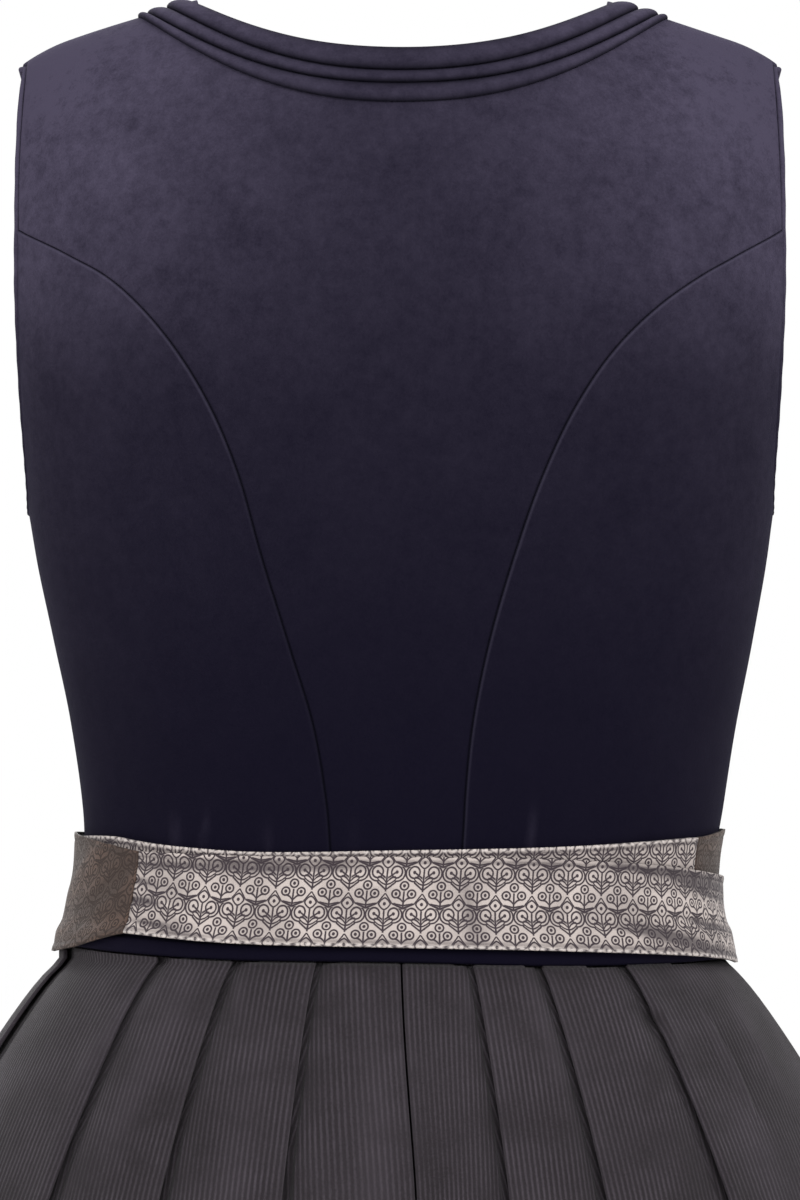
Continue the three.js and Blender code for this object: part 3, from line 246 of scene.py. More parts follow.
SASH_CREASES = (
    (-124, -371, 71, 14, 2.2, -1.0), (-122, -384, 74, 16, 2.6, 0.9), (-119, -398, 69, 18, 2.0, -1.0),
    (-103, -367, 76, 10, 1.8, -0.6), (-131, -378, 64, 8, 1.2, -0.6), (-129, -391, 70, 9, 1.3, -0.7),
    (-136, -365, 50, 7, 1.4, -0.7), (-100, -394, 74, 12, 1.4, -0.5), (80, -365.5, 89, 34, 1.9, -0.8),
    (30, -366, 90, 20, 1.7, -0.4), (111, -381, 84, 8, 1.3, -0.9), (106, -391, 80, 9, 1.3, -0.7),
    (112, -372, 76, 7, 1.2, -0.6), (96, -385, 60, 7, 1.4, 0.5), (84, -386, 12, 11, 2.4, 0.35),
    (40, -378, -10, 12, 3.0, 0.3), (-30, -384, 8, 13, 3.0, -0.3), (-75, -380, -14, 12, 2.6, 0.35),
    (10, -371, 84, 22, 2.5, 0.25), (112, -392, 72, 12, 2.0, 0.3),
)
WAISTBAND_CREASES = (
    (128, -380, -42, 20, 2.6, -1.0), (134, -368, -35, 17, 2.4, 0.9), (138, -390, -52, 14, 2.2, 0.8),
    (143, -376, -25, 16, 2.4, -0.9), (122, -392, -60, 12, 2.0, 0.7), (-138, -372, 30, 16, 2.6, -0.8),
    (-134, -386, 50, 14, 2.2, 0.7), (-120, -380, 14, 14, 3, 0.4),
)


def column(table, key, name, at):
    """A table's column at places along its key, on a smooth curve through the rows."""
    keys, values = np.array(table[key], float), np.array(table[name], float)
    ends = np.diff(values) / np.diff(keys)
    slopes = np.concatenate((ends[:1], (values[2:] - values[:-2]) / (keys[2:] - keys[:-2]), ends[-1:]))
    at = np.asarray(at, float)
    i = np.clip(np.searchsorted(keys, at) - 1, 0, len(keys) - 2)
    span = keys[i + 1] - keys[i]
    t = np.clip((at - keys[i]) / span, 0, 1)
    start = values[i] * (1 + 2 * t) * (1 - t) ** 2 + slopes[i] * span * t * (1 - t) ** 2
    return start + values[i + 1] * (3 - 2 * t) * t**2 - slopes[i + 1] * span * t**2 * (1 - t)


def refine(grid, at, axis):
    """A grid read at places between its lines along one axis, on smooth curves through them."""
    grid = np.moveaxis(np.asarray(grid, float), axis, 0)
    slopes = np.gradient(grid, axis=0)
    i = np.minimum(np.asarray(at).astype(int), len(grid) - 2)
    t = (at - i).reshape(-1, *[1] * (grid.ndim - 1))
    start = grid[i] * (1 + 2 * t) * (1 - t) ** 2 + slopes[i] * t * (1 - t) ** 2
    fine = start + grid[i + 1] * (3 - 2 * t) * t**2 - slopes[i + 1] * t**2 * (1 - t)
    return np.moveaxis(fine, 0, axis)


def steps(count, fineness, edge_steps=()):
    """Places from 0 to count, so many to each step, with extra ones close to both ends."""
    even = np.linspace(0, count, count * fineness + 1)
    edges = np.array(edge_steps, float)
    return np.unique(np.round(np.concatenate((even, edges, count - edges)), 6))


def smooth(value, low, high):
    """0 below low, 1 above high, and a soft step between."""
    share = np.clip((value - low) / (high - low), 0, 1)
    return share * share * (3 - 2 * share)


def bell(distance, half_width):
    """1 in the middle of a ridge, falling softly to nothing beyond its half width."""
    return np.exp(-((distance / half_width) ** 2))


def lines_length(points, axis):
    """Distance walked along a grid's lines from their start, in one direction of the grid."""
    walked = np.cumsum(np.linalg.norm(np.diff(points, axis=axis), axis=-1), axis=axis)
    pad = [(0, 0), (0, 0)]
    pad[axis] = (1, 0)
    return np.pad(walked, pad)


# The figure's surface


def shoulder_height(x):
    """Height of the shoulder line at a distance from the middle."""
    droop = SHOULDER_DROOP * np.maximum(np.abs(x) - SHOULDER_DROOP_START, 0) ** 2
    return SHOULDER_PEAK - np.hypot(SHOULDER_SLOPE * x, SHOULDER_ROUNDING) - droop


def figure_at(z, is_back):
    """Half width, shift, depth, squareness and height of the roll of the figure at a height."""
    def either(name):
        return np.where(is_back, column(FIGURE, "z", "back" + name, z), column(FIGURE, "z", "front" + name, z))

    roll_height = np.where(is_back, BACK_ROLL_HEIGHT, FRONT_ROLL_HEIGHT)
    return column(FIGURE, "z", "half", z), column(FIGURE, "z", "shift", z), either(""), either("_flat"), roll_height


def roll_squared(x, z, roll_height):
    share = np.minimum((shoulder_height(x) - z) / roll_height, 1)
    return 2 * share - share**2


def bodice_point(turn, z):
    """Points on the outside of the bodice."""
    turn, z = np.broadcast_arrays(np.asarray(turn, float), np.asarray(z, float))
    angle = np.radians(turn)
    half, shift, depth, flat, roll_height = figure_at(z, np.cos(angle) > 0)
    x = shift + half * np.sin(angle)
    roll = np.sqrt(np.maximum(roll_squared(x, z, roll_height), 0))
    y = depth * np.cos(angle) * np.sqrt(1 + flat * np.sin(angle) ** 2) * roll
    return np.stack((x, y, z), -1)


def bodice_normal(points, is_back):
    """Outward directions of the bodice at points of it."""

    def level(x, y, z):
        half, shift, depth, flat, roll_height = figure_at(z, is_back)
        share = (x - shift) / half
        outline = (1 - share**2) * (1 + flat * share**2)
        return y**2 - depth**2 * outline * roll_squared(x, z, roll_height)

    reach = 0.4
    x, y, z = np.moveaxis(points, -1, 0)
    slopes = (
        level(x + reach, y, z) - level(x - reach, y, z),
        level(x, y + reach, z) - level(x, y - reach, z),
        level(x, y, z + reach) - level(x, y, z - reach),
    )
    normal = np.stack(slopes, -1)
    return normal / np.linalg.norm(normal, axis=-1, keepdims=True)


def lifted_bodice_point(turn, z, lift):
    """Points at a lift outside the bodice."""
    points = bodice_point(turn, z)
    is_back = np.broadcast_to(np.cos(np.radians(turn)) > 0, points.shape[:-1])
    return points + bodice_normal(points, is_back) * np.asarray(lift)[..., None]


def skirt_size(z):
    """Half width of the skirt at a height, and its depths behind and in front."""
    depth = np.maximum(WAIST_SEAM_Z - z, 0)
    spread = FLARE * depth
    for width, within in (SEAM_STEP, HIP_BELL):
        spread = spread + width * (1 - np.exp(-depth / within))
    front, back = (SKIRT_WAIST[name] + DEPTH_SHARE * spread for name in ("front", "back"))
    return SKIRT_WAIST["half"] + spread, back, front


def skirt_point(turn, z, lift):
    """Points on the outermost surface of the skirt, moved out level by a lift."""
    half, back, front = skirt_size(np.asarray(z, float))
    angle = np.radians(turn)
    depth = np.where(np.cos(angle) > 0, back, front)
    squared = np.sqrt(1 + SKIRT_SQUARED * np.sin(angle) ** 2)
    out_x, out_y = np.sin(angle) / half, np.cos(angle) / depth
    length = np.hypot(out_x, out_y)
    x = SKIRT_WAIST["shift"] + half * np.sin(angle) + out_x / length * lift
    y = depth * np.cos(angle) * squared + out_y / length * lift
    return np.stack(np.broadcast_arrays(x, y, z), -1)


def skirt_degree(turn, z):
    """Millimetres round the skirt for each degree of turn."""
    return np.linalg.norm(skirt_point(turn + 0.5, z, 0) - skirt_point(turn - 0.5, z, 0), axis=-1)


def waist_seam_z(turn):
    """Height of the waist seam at a turn."""
    return column(WAIST_SEAM, "turn", "z", (np.asarray(turn, float) + 180) % 360 - 180)


def skirt_level(turn, depth):
    top = waist_seam_z(turn) - SEAM_GAP
    return top + (HEM_Z - top) * depth / SKIRT_LENGTH


def over_garment(turn, z, lift):
    """Points outside what lies under the apron: the bodice above the waist seam and the skirt below it."""
    above = (z > waist_seam_z(turn))[..., None]
    return np.where(above, lifted_bodice_point(turn, z, lift), skirt_point(turn, z, lift))


def crease_height(table, x, z):
    """Height of the creases of a table at places seen from their side."""
    total = np.zeros(np.broadcast(x, z).shape)
    for middle_x, middle_z, lean, length, width, depth in table:
        lean = math.radians(lean)
        along = (x - middle_x) * math.sin(lean) + (z - middle_z) * math.cos(lean)
        across = (x - middle_x) * math.cos(lean) - (z - middle_z) * math.sin(lean)
        bend = 0.12 * np.sin(along / length * 2.1 + middle_x) * width
        total += depth * np.exp(-((along / length) ** 2) - ((across - bend) / width) ** 2)
    return total


def bodice_creases(points):
    """Relief of the bodice's velvet: its creases, and a slow unevenness from the body under it."""
    x, y, z = np.moveaxis(points, -1, 0)
    back = smooth(y, -8, 8)
    drag = 0.25 * np.sin(x / 23 + z / 61) * np.sin(z / 37 - x / 90) + 0.12 * np.sin(x / 9.5 - z / 17)  # mm
    creases = back * crease_height(BODICE_BACK_CREASES, x, z)
    return creases + (1 - back) * crease_height(BODICE_FRONT_CREASES, x, z) + drag


# Making meshes


def set_grid(mesh, points, uv, attributes):
    """Gives a grid's mesh its points, its flat pattern in millimetres and its attributes."""
    count = len(mesh.vertices)
    mesh.vertices.foreach_set("co", (points.reshape(count, 3) * MM).ravel())
    corners = np.zeros(len(mesh.loops), int)
    mesh.loops.foreach_get("vertex_index", corners)
    layer = mesh.uv_layers.new(name="cloth")
    layer.uv.foreach_set("vector", uv.reshape(count, 2)[corners].ravel())
    for name, values in attributes.items():
        mesh.attributes.new(name, "FLOAT", "POINT").data.foreach_set("value", values.ravel())


def cloth(name, points, uv, thickness, look, node, slot, attributes=None, offset=-1):
    """A piece of cloth from a grid of points on its outside, with its wall made inwards."""
    rows, columns = points.shape[:2]
    grid = bmesh.new()
    bmesh.ops.create_grid(grid, x_segments=columns - 1, y_segments=rows - 1, size=0.5)
    grid.verts.sort(key=lambda v: round((v.co.y + 0.5) * (rows - 1)) * columns + round((v.co.x + 0.5) * (columns - 1)))
    grid.verts.index_update()
    for face in grid.faces:
        face.smooth = True
    mesh = bpy.data.meshes.new(f"{name}_cloth")
    grid.to_mesh(mesh)
    grid.free()
    set_grid(mesh, points, uv, attributes or {})
    if not faces_outwards(points):
        mesh.flip_normals()
    piece = bpy.data.objects.new(f"{name}_cloth", mesh)
    bpy.context.scene.collection.objects.link(piece)
    wall = piece.modifiers.new("wall", "SOLIDIFY")
    wall.thickness = thickness * MM
    wall.offset = offset
    wall.use_quality_normals = True
    return finish_piece(piece, look, node, slot)


def faces_outwards(points):
    """Whether most of a grid's faces look away from the figure's axis."""
    across = points[:-1, 1:] - points[:-1, :-1]
    up = points[1:, :-1] - points[:-1, :-1]
    outwards = points[:-1, :-1] * (1, 1, 0)
    return np.sum(np.cross(across, up) * outwards) > 0


def roll(name, sections, look, node, slot, is_loop, end_caps=True, groove_shade=None):
    """A rolled or padded piece through closed sections, a row of the grid for each. groove is painted shade, by how
    deep each place lies in the grooves beside it."""
    around = sections.shape[1]
    closed = np.concatenate((sections, sections[:, :1]), 1)
    if is_loop:
        closed = np.concatenate((closed, closed[:1]), 0)
    rows = len(closed)
    grid = bmesh.new()
    bmesh.ops.create_grid(grid, x_segments=around, y_segments=rows - 1, size=0.5)
    uv_layer = grid.loops.layers.uv.new("cloth")
    groove_shade_layer = grid.verts.layers.float.new("groove_shade")
    places = {}
    for vert in grid.verts:
        places[vert.index] = (round((vert.co.y + 0.5) * (rows - 1)), round((vert.co.x + 0.5) * around))
    length = np.cumsum([0, *np.linalg.norm(np.diff(closed[:, 0], axis=0), axis=-1)])
    girth = np.cumsum([0, *np.linalg.norm(np.diff(closed[rows // 2], axis=0), axis=-1)])
    for face in grid.faces:
        face.smooth = True
        for corner in face.loops:
            row, i = places[corner.vert.index]
            corner[uv_layer].uv = (length[row], girth[i])
    for vert in grid.verts:
        row, i = places[vert.index]
        vert.co = Vector(closed[row, i]) * MM
        if groove_shade is not None:
            vert[groove_shade_layer] = groove_shade[row, i % around]
    bmesh.ops.remove_doubles(grid, verts=grid.verts, dist=0.01 * MM)
    if end_caps:
        bmesh.ops.holes_fill(grid, edges=[edge for edge in grid.edges if edge.is_boundary], sides=0)
    bmesh.ops.recalc_face_normals(grid, faces=grid.faces)
    # Painted light, which the velvet reads
    light = painted_light(np.array([vert.co for vert in grid.verts]) / MM)
    mesh = bpy.data.meshes.new(f"{name}_cloth")
    grid.to_mesh(mesh)
    grid.free()
    mesh.attributes.new("painted_light", "FLOAT", "POINT").data.foreach_set("value", light)
    piece = bpy.data.objects.new(f"{name}_cloth", mesh)
    bpy.context.scene.collection.objects.link(piece)
    return finish_piece(piece, look, node, slot)


def finish_piece(piece, look, node, slot):
    """Gives a piece its material, parents it to the body's root and hides the solid of the node that it dresses."""
    piece.data.materials.append(look)
    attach(piece, "root")
    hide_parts(node)
    return piece


# Bodice


def place(turn, z):
    """A place as its turn and its root, a power of the drop below the shoulder line."""
    drop = np.maximum(shoulder_height(bodice_point(turn, z)[..., 0]) - z, 0)
    return np.stack(np.broadcast_arrays(turn, drop**ROOT_POWER), -1)


def place_height(turn, root):
    drop = np.maximum(root, 0) ** (1 / ROOT_POWER)
    z = -drop
    for _ in range(8):
        z = shoulder_height(bodice_point(turn, z)[..., 0]) - drop
    return z


def place_at_x(x, z, is_back):
    """The place at a distance from the middle and a height."""
    half, shift = figure_at(z, is_back)[:2]
    back_turn = np.degrees(np.arcsin(np.clip((x - shift) / half, -1, 1)))
    return place(back_turn if is_back else np.where(x < 0, -180, 180) - back_turn, z)


def armhole_place(side, z, is_back):
    """The place on the armhole's edge at a height."""
    return place(side * column(ARMHOLE, "z", "back" if is_back else "front", z), np.asarray(z, float))


def princess_place(side, z, is_back):
    """The place on a princess seam at a height."""
    table, name = (BACK_PRINCESS, SIDES[side]) if is_back else (FRONT_PRINCESS, "x")
    return place_at_x(side * column(table, "z", name, z), z, is_back)


def princess_line(side, is_back):
    """A princess seam from the armhole to the waist."""
    z = np.array(SEAM_ROWS[1:], float)
    z[-1] = waist_seam_z(princess_place(side, z[-1], is_back)[0]) + WAIST_EASE
    top = armhole_place(side, PRINCESS_TOP_Z[is_back], is_back)
    return np.concatenate((top[None], princess_place(side, z, is_back)))


def centre_panel_side(side, is_back):
    """Side line of a centre panel: down the armhole, then down the princess seam."""
    yoke = armhole_place(side, np.array(YOKE_ROWS), is_back)
    yoke[0, 1] = 0
    return np.concatenate((yoke, princess_line(side, is_back)))


def side_line(side):
    """The side seam from the armhole to the waist."""
    z = np.array(SIDE_ROWS, float)
    z[-1] = waist_seam_z(side * 90) + WAIST_EASE
    return place(np.full(len(z), side * 90.0), z)


def neck_place(side, line, along):
    """A place of the neckline family: line counts through the grooves between the bands, and along runs from -1 at
    the centre front over 0 at the shoulder to 1 at the centre back."""
    line, along = np.broadcast_arrays(np.asarray(line, float), np.asarray(along, float))
    columns = ("shoulder_x", "back", "front")
    shoulder_x, back_drop, front_drop = (np.interp(line, NECK["line"], NECK[name]) for name in columns)
    is_back = along >= 0
    shoulder_x = shoulder_x * (NECK_RIGHT_WIDER if side == RIGHT else 1)
    angle = math.pi / 2 * np.where(is_back, along, np.abs(along) ** NECK_FRONT_SPACING)
    cosine, sine = np.maximum(np.cos(angle), 0), np.abs(np.sin(angle))
    x = shoulder_x * np.where(is_back, cosine, cosine**NECK_FRONT_CURVE)
    z = shoulder_height(x) - np.where(is_back, back_drop * sine**NECK_BACK_CURVE, front_drop * sine**NECK_FRONT_CURVE)
    half, shift = figure_at(z, is_back)[:2]
    back_turn = np.degrees(np.arcsin(np.minimum((x - shift * x / NECK["shoulder_x"][0]) / half, 1)))
    return place(side * np.where(is_back, back_turn, 180 - back_turn), z)


def shoulder_line(side, is_back, count):
    tip = armhole_place(side, YOKE_ROWS[0], is_back)[0]
    neck = neck_place(side, 0, 0)[0]
    turns = np.linspace(tip, neck if is_back else side * 180 - neck, count + 1)
    return np.stack((turns, np.zeros(count + 1)), -1)


def waist_line(first, last, count):
    """The lower edge of a panel between two turns."""
    turns = np.linspace(first, last, count + 1)
    return place(turns, waist_seam_z(turns) + WAIST_EASE)


def fill_places(top, bottom, first, second):
    """Rows of places between a top, a bottom and two side lines."""
    down = np.linspace(0, 1, len(first))[:, None, None]
    across = np.linspace(0, 1, len(top))[None, :, None]
    lengthwise = (1 - down) * top[None] + down * bottom[None]
    crosswise = (1 - across) * first[:, None] + across * second[:, None]
    upper = (1 - across) * top[0] + across * top[-1]
    lower = (1 - across) * bottom[0] + across * bottom[-1]
    return lengthwise + crosswise - (1 - down) * upper - down * lower


# Finishes of a panel's side lines: "under" sinks into the seam, "over" rolls up beside it with a painted highlight,
# and "side" is a plain seam. Each ridge has its distance from the edge, half width and height, the groove's painted
# shade has its half width, and the shine, a painted highlight, has its distance from the edge and its half width.
SEAM_FINISHES = {
    "under": {"ridges": ((0, 0.6, -0.75), (0, 3, -0.15)), "groove_shade": 0.5, "shine": None},
    "over": {"ridges": ((1.2, 0.9, 0.3), (0, 0.45, -0.75)), "groove_shade": 0.35, "shine": (0.85, 0.4)},
    "side": {"ridges": ((0, 0.7, -0.6),), "groove_shade": None, "shine": None},
}
# The left princess seam's painted highlight fades down to this share between these heights, and in front every painted
# highlight is weaker
FADED_SHINE = 0.25
SHINE_FADES_Z = (-205, -160)
FRONT_SHINE = 0.8
# Painted highlight on the creases above the sash: its strength, and how far below the shoulder line they begin and are
# full
SASH_CREASE_LIGHT = 0.13
SASH_CREASES_BELOW = (325, 345)


def velvet_panel(name, places, seams, looks):
    """A bodice panel. seams names the finish of its first and its last side line."""
    turn, root = np.moveaxis(places, -1, 0)
    z = place_height(turn, root)
    base = bodice_point(turn, z)
    walked = lines_length(base, 1)
    lift = bodice_creases(base) * looks["settings"].crease_strength
    # Painted highlight beside the seams that roll over, and painted shade in the seams' grooves
    shine = np.zeros(turn.shape)
    groove_shade = np.zeros(turn.shape)
    for distance, seam in zip((walked, walked[:, -1:] - walked), seams):
        finish = SEAM_FINISHES[seam]
        for at, half_width, height in finish["ridges"]:
            lift += height * bell(distance - at, half_width)
        if finish["groove_shade"]:
            groove_shade += bell(distance, finish["groove_shade"])
        if finish["shine"]:
            at, half_width = finish["shine"]
            shine += bell(distance - at, half_width)
    x, y, z_on_figure = np.moveaxis(base, -1, 0)
    is_back = y > 0
    fading = np.where(x > 0, FADED_SHINE + (1 - FADED_SHINE) * smooth(z_on_figure, *SHINE_FADES_Z), 1.0)
    shine *= np.where(is_back, fading, FRONT_SHINE)
    points = lifted_bodice_point(turn, z, lift)
    for edge, beside in ((0, 1), (-1, -2)):
        outwards = points[:, edge] - points[:, beside]
        points[:, edge] += SEAM_LAP * outwards / np.linalg.norm(outwards, axis=-1, keepdims=True)
    uv = np.stack((walked, z_on_figure), -1)
    # Painted light, with a painted highlight on the ridges of the back's creases above the sash
    above_sash = crease_height(BODICE_BACK_CREASES, x, z_on_figure) * smooth(-z_on_figure, *SASH_CREASES_BELOW)
    light = painted_light(points) + SASH_CREASE_LIGHT * np.maximum(above_sash, 0) * is_back
    attributes = {"seam_shine": shine, "groove_shade": groove_shade, "painted_light": light}
    return cloth(name, points, uv, BODICE_CLOTH, looks["velvet"], name, "velvet", attributes)


# Painted light on the velvet: none up to the first height, growing over the height above it by a power, so the upper
# body looks lit from above. It is stronger out on the shoulder blades, between these heights, and right at the sides.
PAINTED_LIGHT_FROM_Z = -420
PAINTED_LIGHT_HEIGHT = 480
PAINTED_LIGHT_POWER = 2.3
PAINTED_LIGHT_STRENGTH = 0.66
PAINTED_LIGHT_HALF_WIDTH = 122
SHOULDER_BLADES_Z = (-170, -100)
SHOULDER_BLADES_LIGHT = 1.1
SIDE_LIGHT = 0.04


def painted_light(points):
    """How much painted light the velvet gets at points of it."""
    x, _, z = np.moveaxis(points, -1, 0)
    height = np.clip((z - PAINTED_LIGHT_FROM_Z) / PAINTED_LIGHT_HEIGHT, 0, 1)
    across = np.abs(x) / PAINTED_LIGHT_HALF_WIDTH
    outside = 1 + SHOULDER_BLADES_LIGHT * smooth(z, *SHOULDER_BLADES_Z) * across**1.5
    return np.clip(PAINTED_LIGHT_STRENGTH * height**PAINTED_LIGHT_POWER * outside + SIDE_LIGHT * across**4, 0, 1.2)


# Places of the extra columns beside a panel's edges, as shares of its outermost step, and rows for each step
EDGE_STEPS = (0.02, 0.05, 0.1, 0.17, 0.27, 0.4, 0.6)
PANEL_ROWS = 7


def make_bodice(looks):
    """The seven panels of the bodice."""
    made = [make_back_centre(looks)]
    for side, suffix in SIDES.items():
        for is_back in (True, False):
            seam, side_seam = princess_line(side, is_back), side_line(side)
            share = np.sin(np.linspace(0, math.pi / 2, ARMHOLE_STEPS + 1))
            top_z = PRINCESS_TOP_Z[is_back]
            armhole = armhole_place(side, top_z + (UNDERARM_Z - top_z) * share, is_back)
            waist = waist_line(seam[-1, 0], side * 90, ARMHOLE_STEPS)
            places = fill_places(armhole, waist, seam, side_seam)
            places = refine(places, steps(len(places) - 1, PANEL_ROWS), 0)
            places = refine(places, steps(ARMHOLE_STEPS, 9, EDGE_STEPS), 1)
            name = f"bodice_{'back' if is_back else 'front'}_side_{suffix}"
            made.append(velvet_panel(name, places, ("over", "side"), looks))
        made.append(make_front_centre(side, suffix, looks))
    return made


def make_back_centre(looks):
    """The back panel, filled in two parts: the yoke down to the princess seams' tops, and what is below."""
    left, right = (centre_panel_side(side, True) for side in (LEFT, RIGHT))
    share = np.linspace(0, 1, 11)[1:-1]
    along = np.minimum(share, 1 - share) * 2
    neck = np.where(share[:, None] <= 0.5, neck_place(LEFT, 0, along), neck_place(RIGHT, 0, along))
    top = np.concatenate((shoulder_line(LEFT, True, 3), neck, shoulder_line(RIGHT, True, 3)[::-1]))
    yoke_rows = len(YOKE_ROWS)
    middle = np.linspace(left[yoke_rows], right[yoke_rows], len(top))
    waist = waist_line(left[-1, 0], right[-1, 0], len(top) - 1)
    yoke = fill_places(top, middle, left[: yoke_rows + 1], right[: yoke_rows + 1])
    lower = fill_places(middle, waist, left[yoke_rows:], right[yoke_rows:])
    parts = [refine(part, steps(len(part) - 1, PANEL_ROWS), 0) for part in (yoke, lower)]
    places = refine(np.concatenate((parts[0], parts[1][1:])), steps(len(top) - 1, 6, EDGE_STEPS), 1)
    return velvet_panel("bodice_back_centre", places, ("under", "under"), looks)


def make_front_centre(side, suffix, looks):
    """A front panel beside the centre front, up to the neckline and the shoulder."""
    outer = centre_panel_side(side, False)
    columns, neck_rows = 7, 11
    neck = neck_place(side, 0, -np.linspace(0, 1, neck_rows + 1)[1:])
    neck_z = place_height(neck[-1:, 0], neck[-1:, 1])[0]
    waist_z = waist_seam_z(side * 180) + WAIST_EASE
    below = np.linspace(neck_z, waist_z, len(outer) - neck_rows)
    centre_front = place(np.full(len(below), side * 180.0), below)
    shoulder = shoulder_line(side, False, columns)
    inner = np.concatenate((shoulder[-1:], neck[:-1], centre_front))
    waist = waist_line(outer[-1, 0], side * 180, columns)
    places = fill_places(shoulder, waist, outer, inner)
    yoke_rows = len(YOKE_ROWS)
    halves = (places[: yoke_rows + 1], places[yoke_rows:])
    parts = [refine(part, steps(len(part) - 1, PANEL_ROWS), 0) for part in halves]
    places = refine(np.concatenate((parts[0], parts[1][1:])), steps(columns, 9, EDGE_STEPS), 1)
    return velvet_panel(f"bodice_front_centre_{suffix}", places, ("under", "side"), looks)


# Section of a folded neck band: share of the way between its two grooves, and lift from the bodice
BAND_SECTION = np.array([
    (0.03, 0.5), (0.03, 0.9), (0.07, 1.3), (0.15, 1.8), (0.28, 2.4), (0.44, 2.9), (0.6, 3.15), (0.74, 3.05),
    (0.86, 2.6), (0.94, 1.9), (0.975, 1.2), (0.96, 0.5),
])
# Painted shade: how deep each of those places lies in the grooves beside the band
BAND_GROOVE_SHADE = np.array((1, 0.9, 0.7, 0.42, 0.15, 0, 0, 0.1, 0.4, 0.8, 1, 1))


# The bands lie flatter where they cross the shoulder, the outer ones more, over this share of their way
FLATTER_AT_SHOULDER = (0.15, 0.12)
FLAT_WITHIN = 0.1


def make_neck_bands(looks):
    """The three folded bands round the neckline, each a closed section carried round it."""
    made = []
    along = np.concatenate((np.linspace(-1, 0, 70), np.linspace(0, 1, 46)[1:]))
    at_shoulder = bell(along[:, None], FLAT_WITHIN)
    for line, name in enumerate(("neck_band_inner", "neck_band_middle", "neck_band_outer")):
        halves = []
        for side in (LEFT, RIGHT):
            turn, root = np.moveaxis(neck_place(side, line + BAND_SECTION[None, :, 0], along[:, None]), -1, 0)
            z = place_height(turn, root)
            wander = 0.18 * np.sin(turn / 5.1 + line * 2.3) + 0.12 * np.sin(turn / 2.3 + z / 31 + line)
            flattened = 1 - (FLATTER_AT_SHOULDER[0] + FLATTER_AT_SHOULDER[1] * line) * at_shoulder
            lift = BAND_SECTION[None, :, 1] * (1 + 0.25 * wander) * flattened
            points = lifted_bodice_point(turn, z, lift)
            points[0, :, 0] = side * SEAM_GAP
            halves.append(points)
        sections = np.concatenate((halves[0], halves[1][-2::-1]))
        # Painted shade in the grooves between the bands
        groove_shade = np.broadcast_to(BAND_GROOVE_SHADE, sections.shape[:2])
        made.append(roll(name, sections, looks["velvet"], name, "velvet", is_loop=False, groove_shade=groove_shade))
    return made


# The rolled edge of an armhole: how deep its middle lies under the bodice's outside, and how much deeper at the tip
# of the shoulder, over this height
BINDING_RADIUS = 1.4
BINDING_CORNERS = 12
BINDING_SUNK = 0.8
TIP_SUNK = 1.7
TIP_HEIGHT = 9
PUCKER = 0.07


def make_armhole_bindings(looks):
    """The two rolled edges, each a round section carried up the back of its armhole and down the front."""
    made = []
    for side, suffix in SIDES.items():
        fall = np.sin(np.linspace(0, math.pi / 2, 60))
        z = YOKE_ROWS[0] + (UNDERARM_Z - YOKE_ROWS[0]) * fall
        edges, normals = [], []
        for is_back, name, rows in ((True, "back", z), (False, "front", z[-2::-1])):
            points = bodice_point(side * column(ARMHOLE, "z", name, rows), rows)
            edges.append(points)
            normals.append(bodice_normal(points, is_back))
        edge, normal = np.concatenate(edges), np.concatenate(normals)
        along = np.roll(edge, -1, 0) - np.roll(edge, 1, 0)
        along /= np.linalg.norm(along, axis=-1, keepdims=True)
        in_hole = np.cross(along, normal)
        in_hole /= np.linalg.norm(in_hole, axis=-1, keepdims=True)
        towards = np.sum(in_hole * (edge.mean(0) - edge), -1, keepdims=True)
        in_hole *= np.where(towards < 0, -1, 1)
        sunk = BINDING_SUNK + TIP_SUNK * bell(edge[:, 2:] - YOKE_ROWS[0], TIP_HEIGHT)
        centre = edge + in_hole * (BINDING_RADIUS + 0.1) - normal * sunk
        up = np.cross(in_hole, along)
        angle = np.linspace(0, 2 * math.pi, BINDING_CORNERS, endpoint=False)[None, :, None]
        ring = in_hole[:, None] * np.cos(angle) + up[:, None] * np.sin(angle)
        pucker = 1 + PUCKER * np.sin(np.arange(len(edge)) * 1.7)[:, None, None]
        name = f"armhole_binding_{suffix}"
        sections = centre[:, None] + ring * BINDING_RADIUS * pucker
        made.append(roll(name, sections, looks["velvet"], name, "velvet", is_loop=True, end_caps=False))
    return made


# The waist binding's outside in its middle, and how much nearer to the body its edges are
WAIST_BINDING_LIFT = (2.0, 0.9)


def make_waist_binding(looks):
    """The narrow velvet band over the waist seam, open by a hair at the centre front."""
    turn = np.linspace(-179.8, 179.8, 420)[None, :]
    level = np.linspace(0, 1, 9)[:, None]
    z = waist_seam_z(turn) + SEAM_GAP + BINDING_HEIGHT * (1 - level)
    in_middle, less_at_edges = WAIST_BINDING_LIFT
    wander = 0.1 * np.sin(turn / 2.7) * np.sin(turn / 7.9)
    lift = in_middle - less_at_edges * np.abs(2 * level - 1) ** 3 + wander
    points = lifted_bodice_point(turn, z, lift)
    uv = np.stack((lines_length(points, 1), z), -1)
    name = "waist_binding"
    # Painted light on the velvet
    light = {"painted_light": painted_light(points)}
    return [cloth(name, points, uv, BINDING_CLOTH, looks["velvet"], name, "velvet", light)]


# Skirt


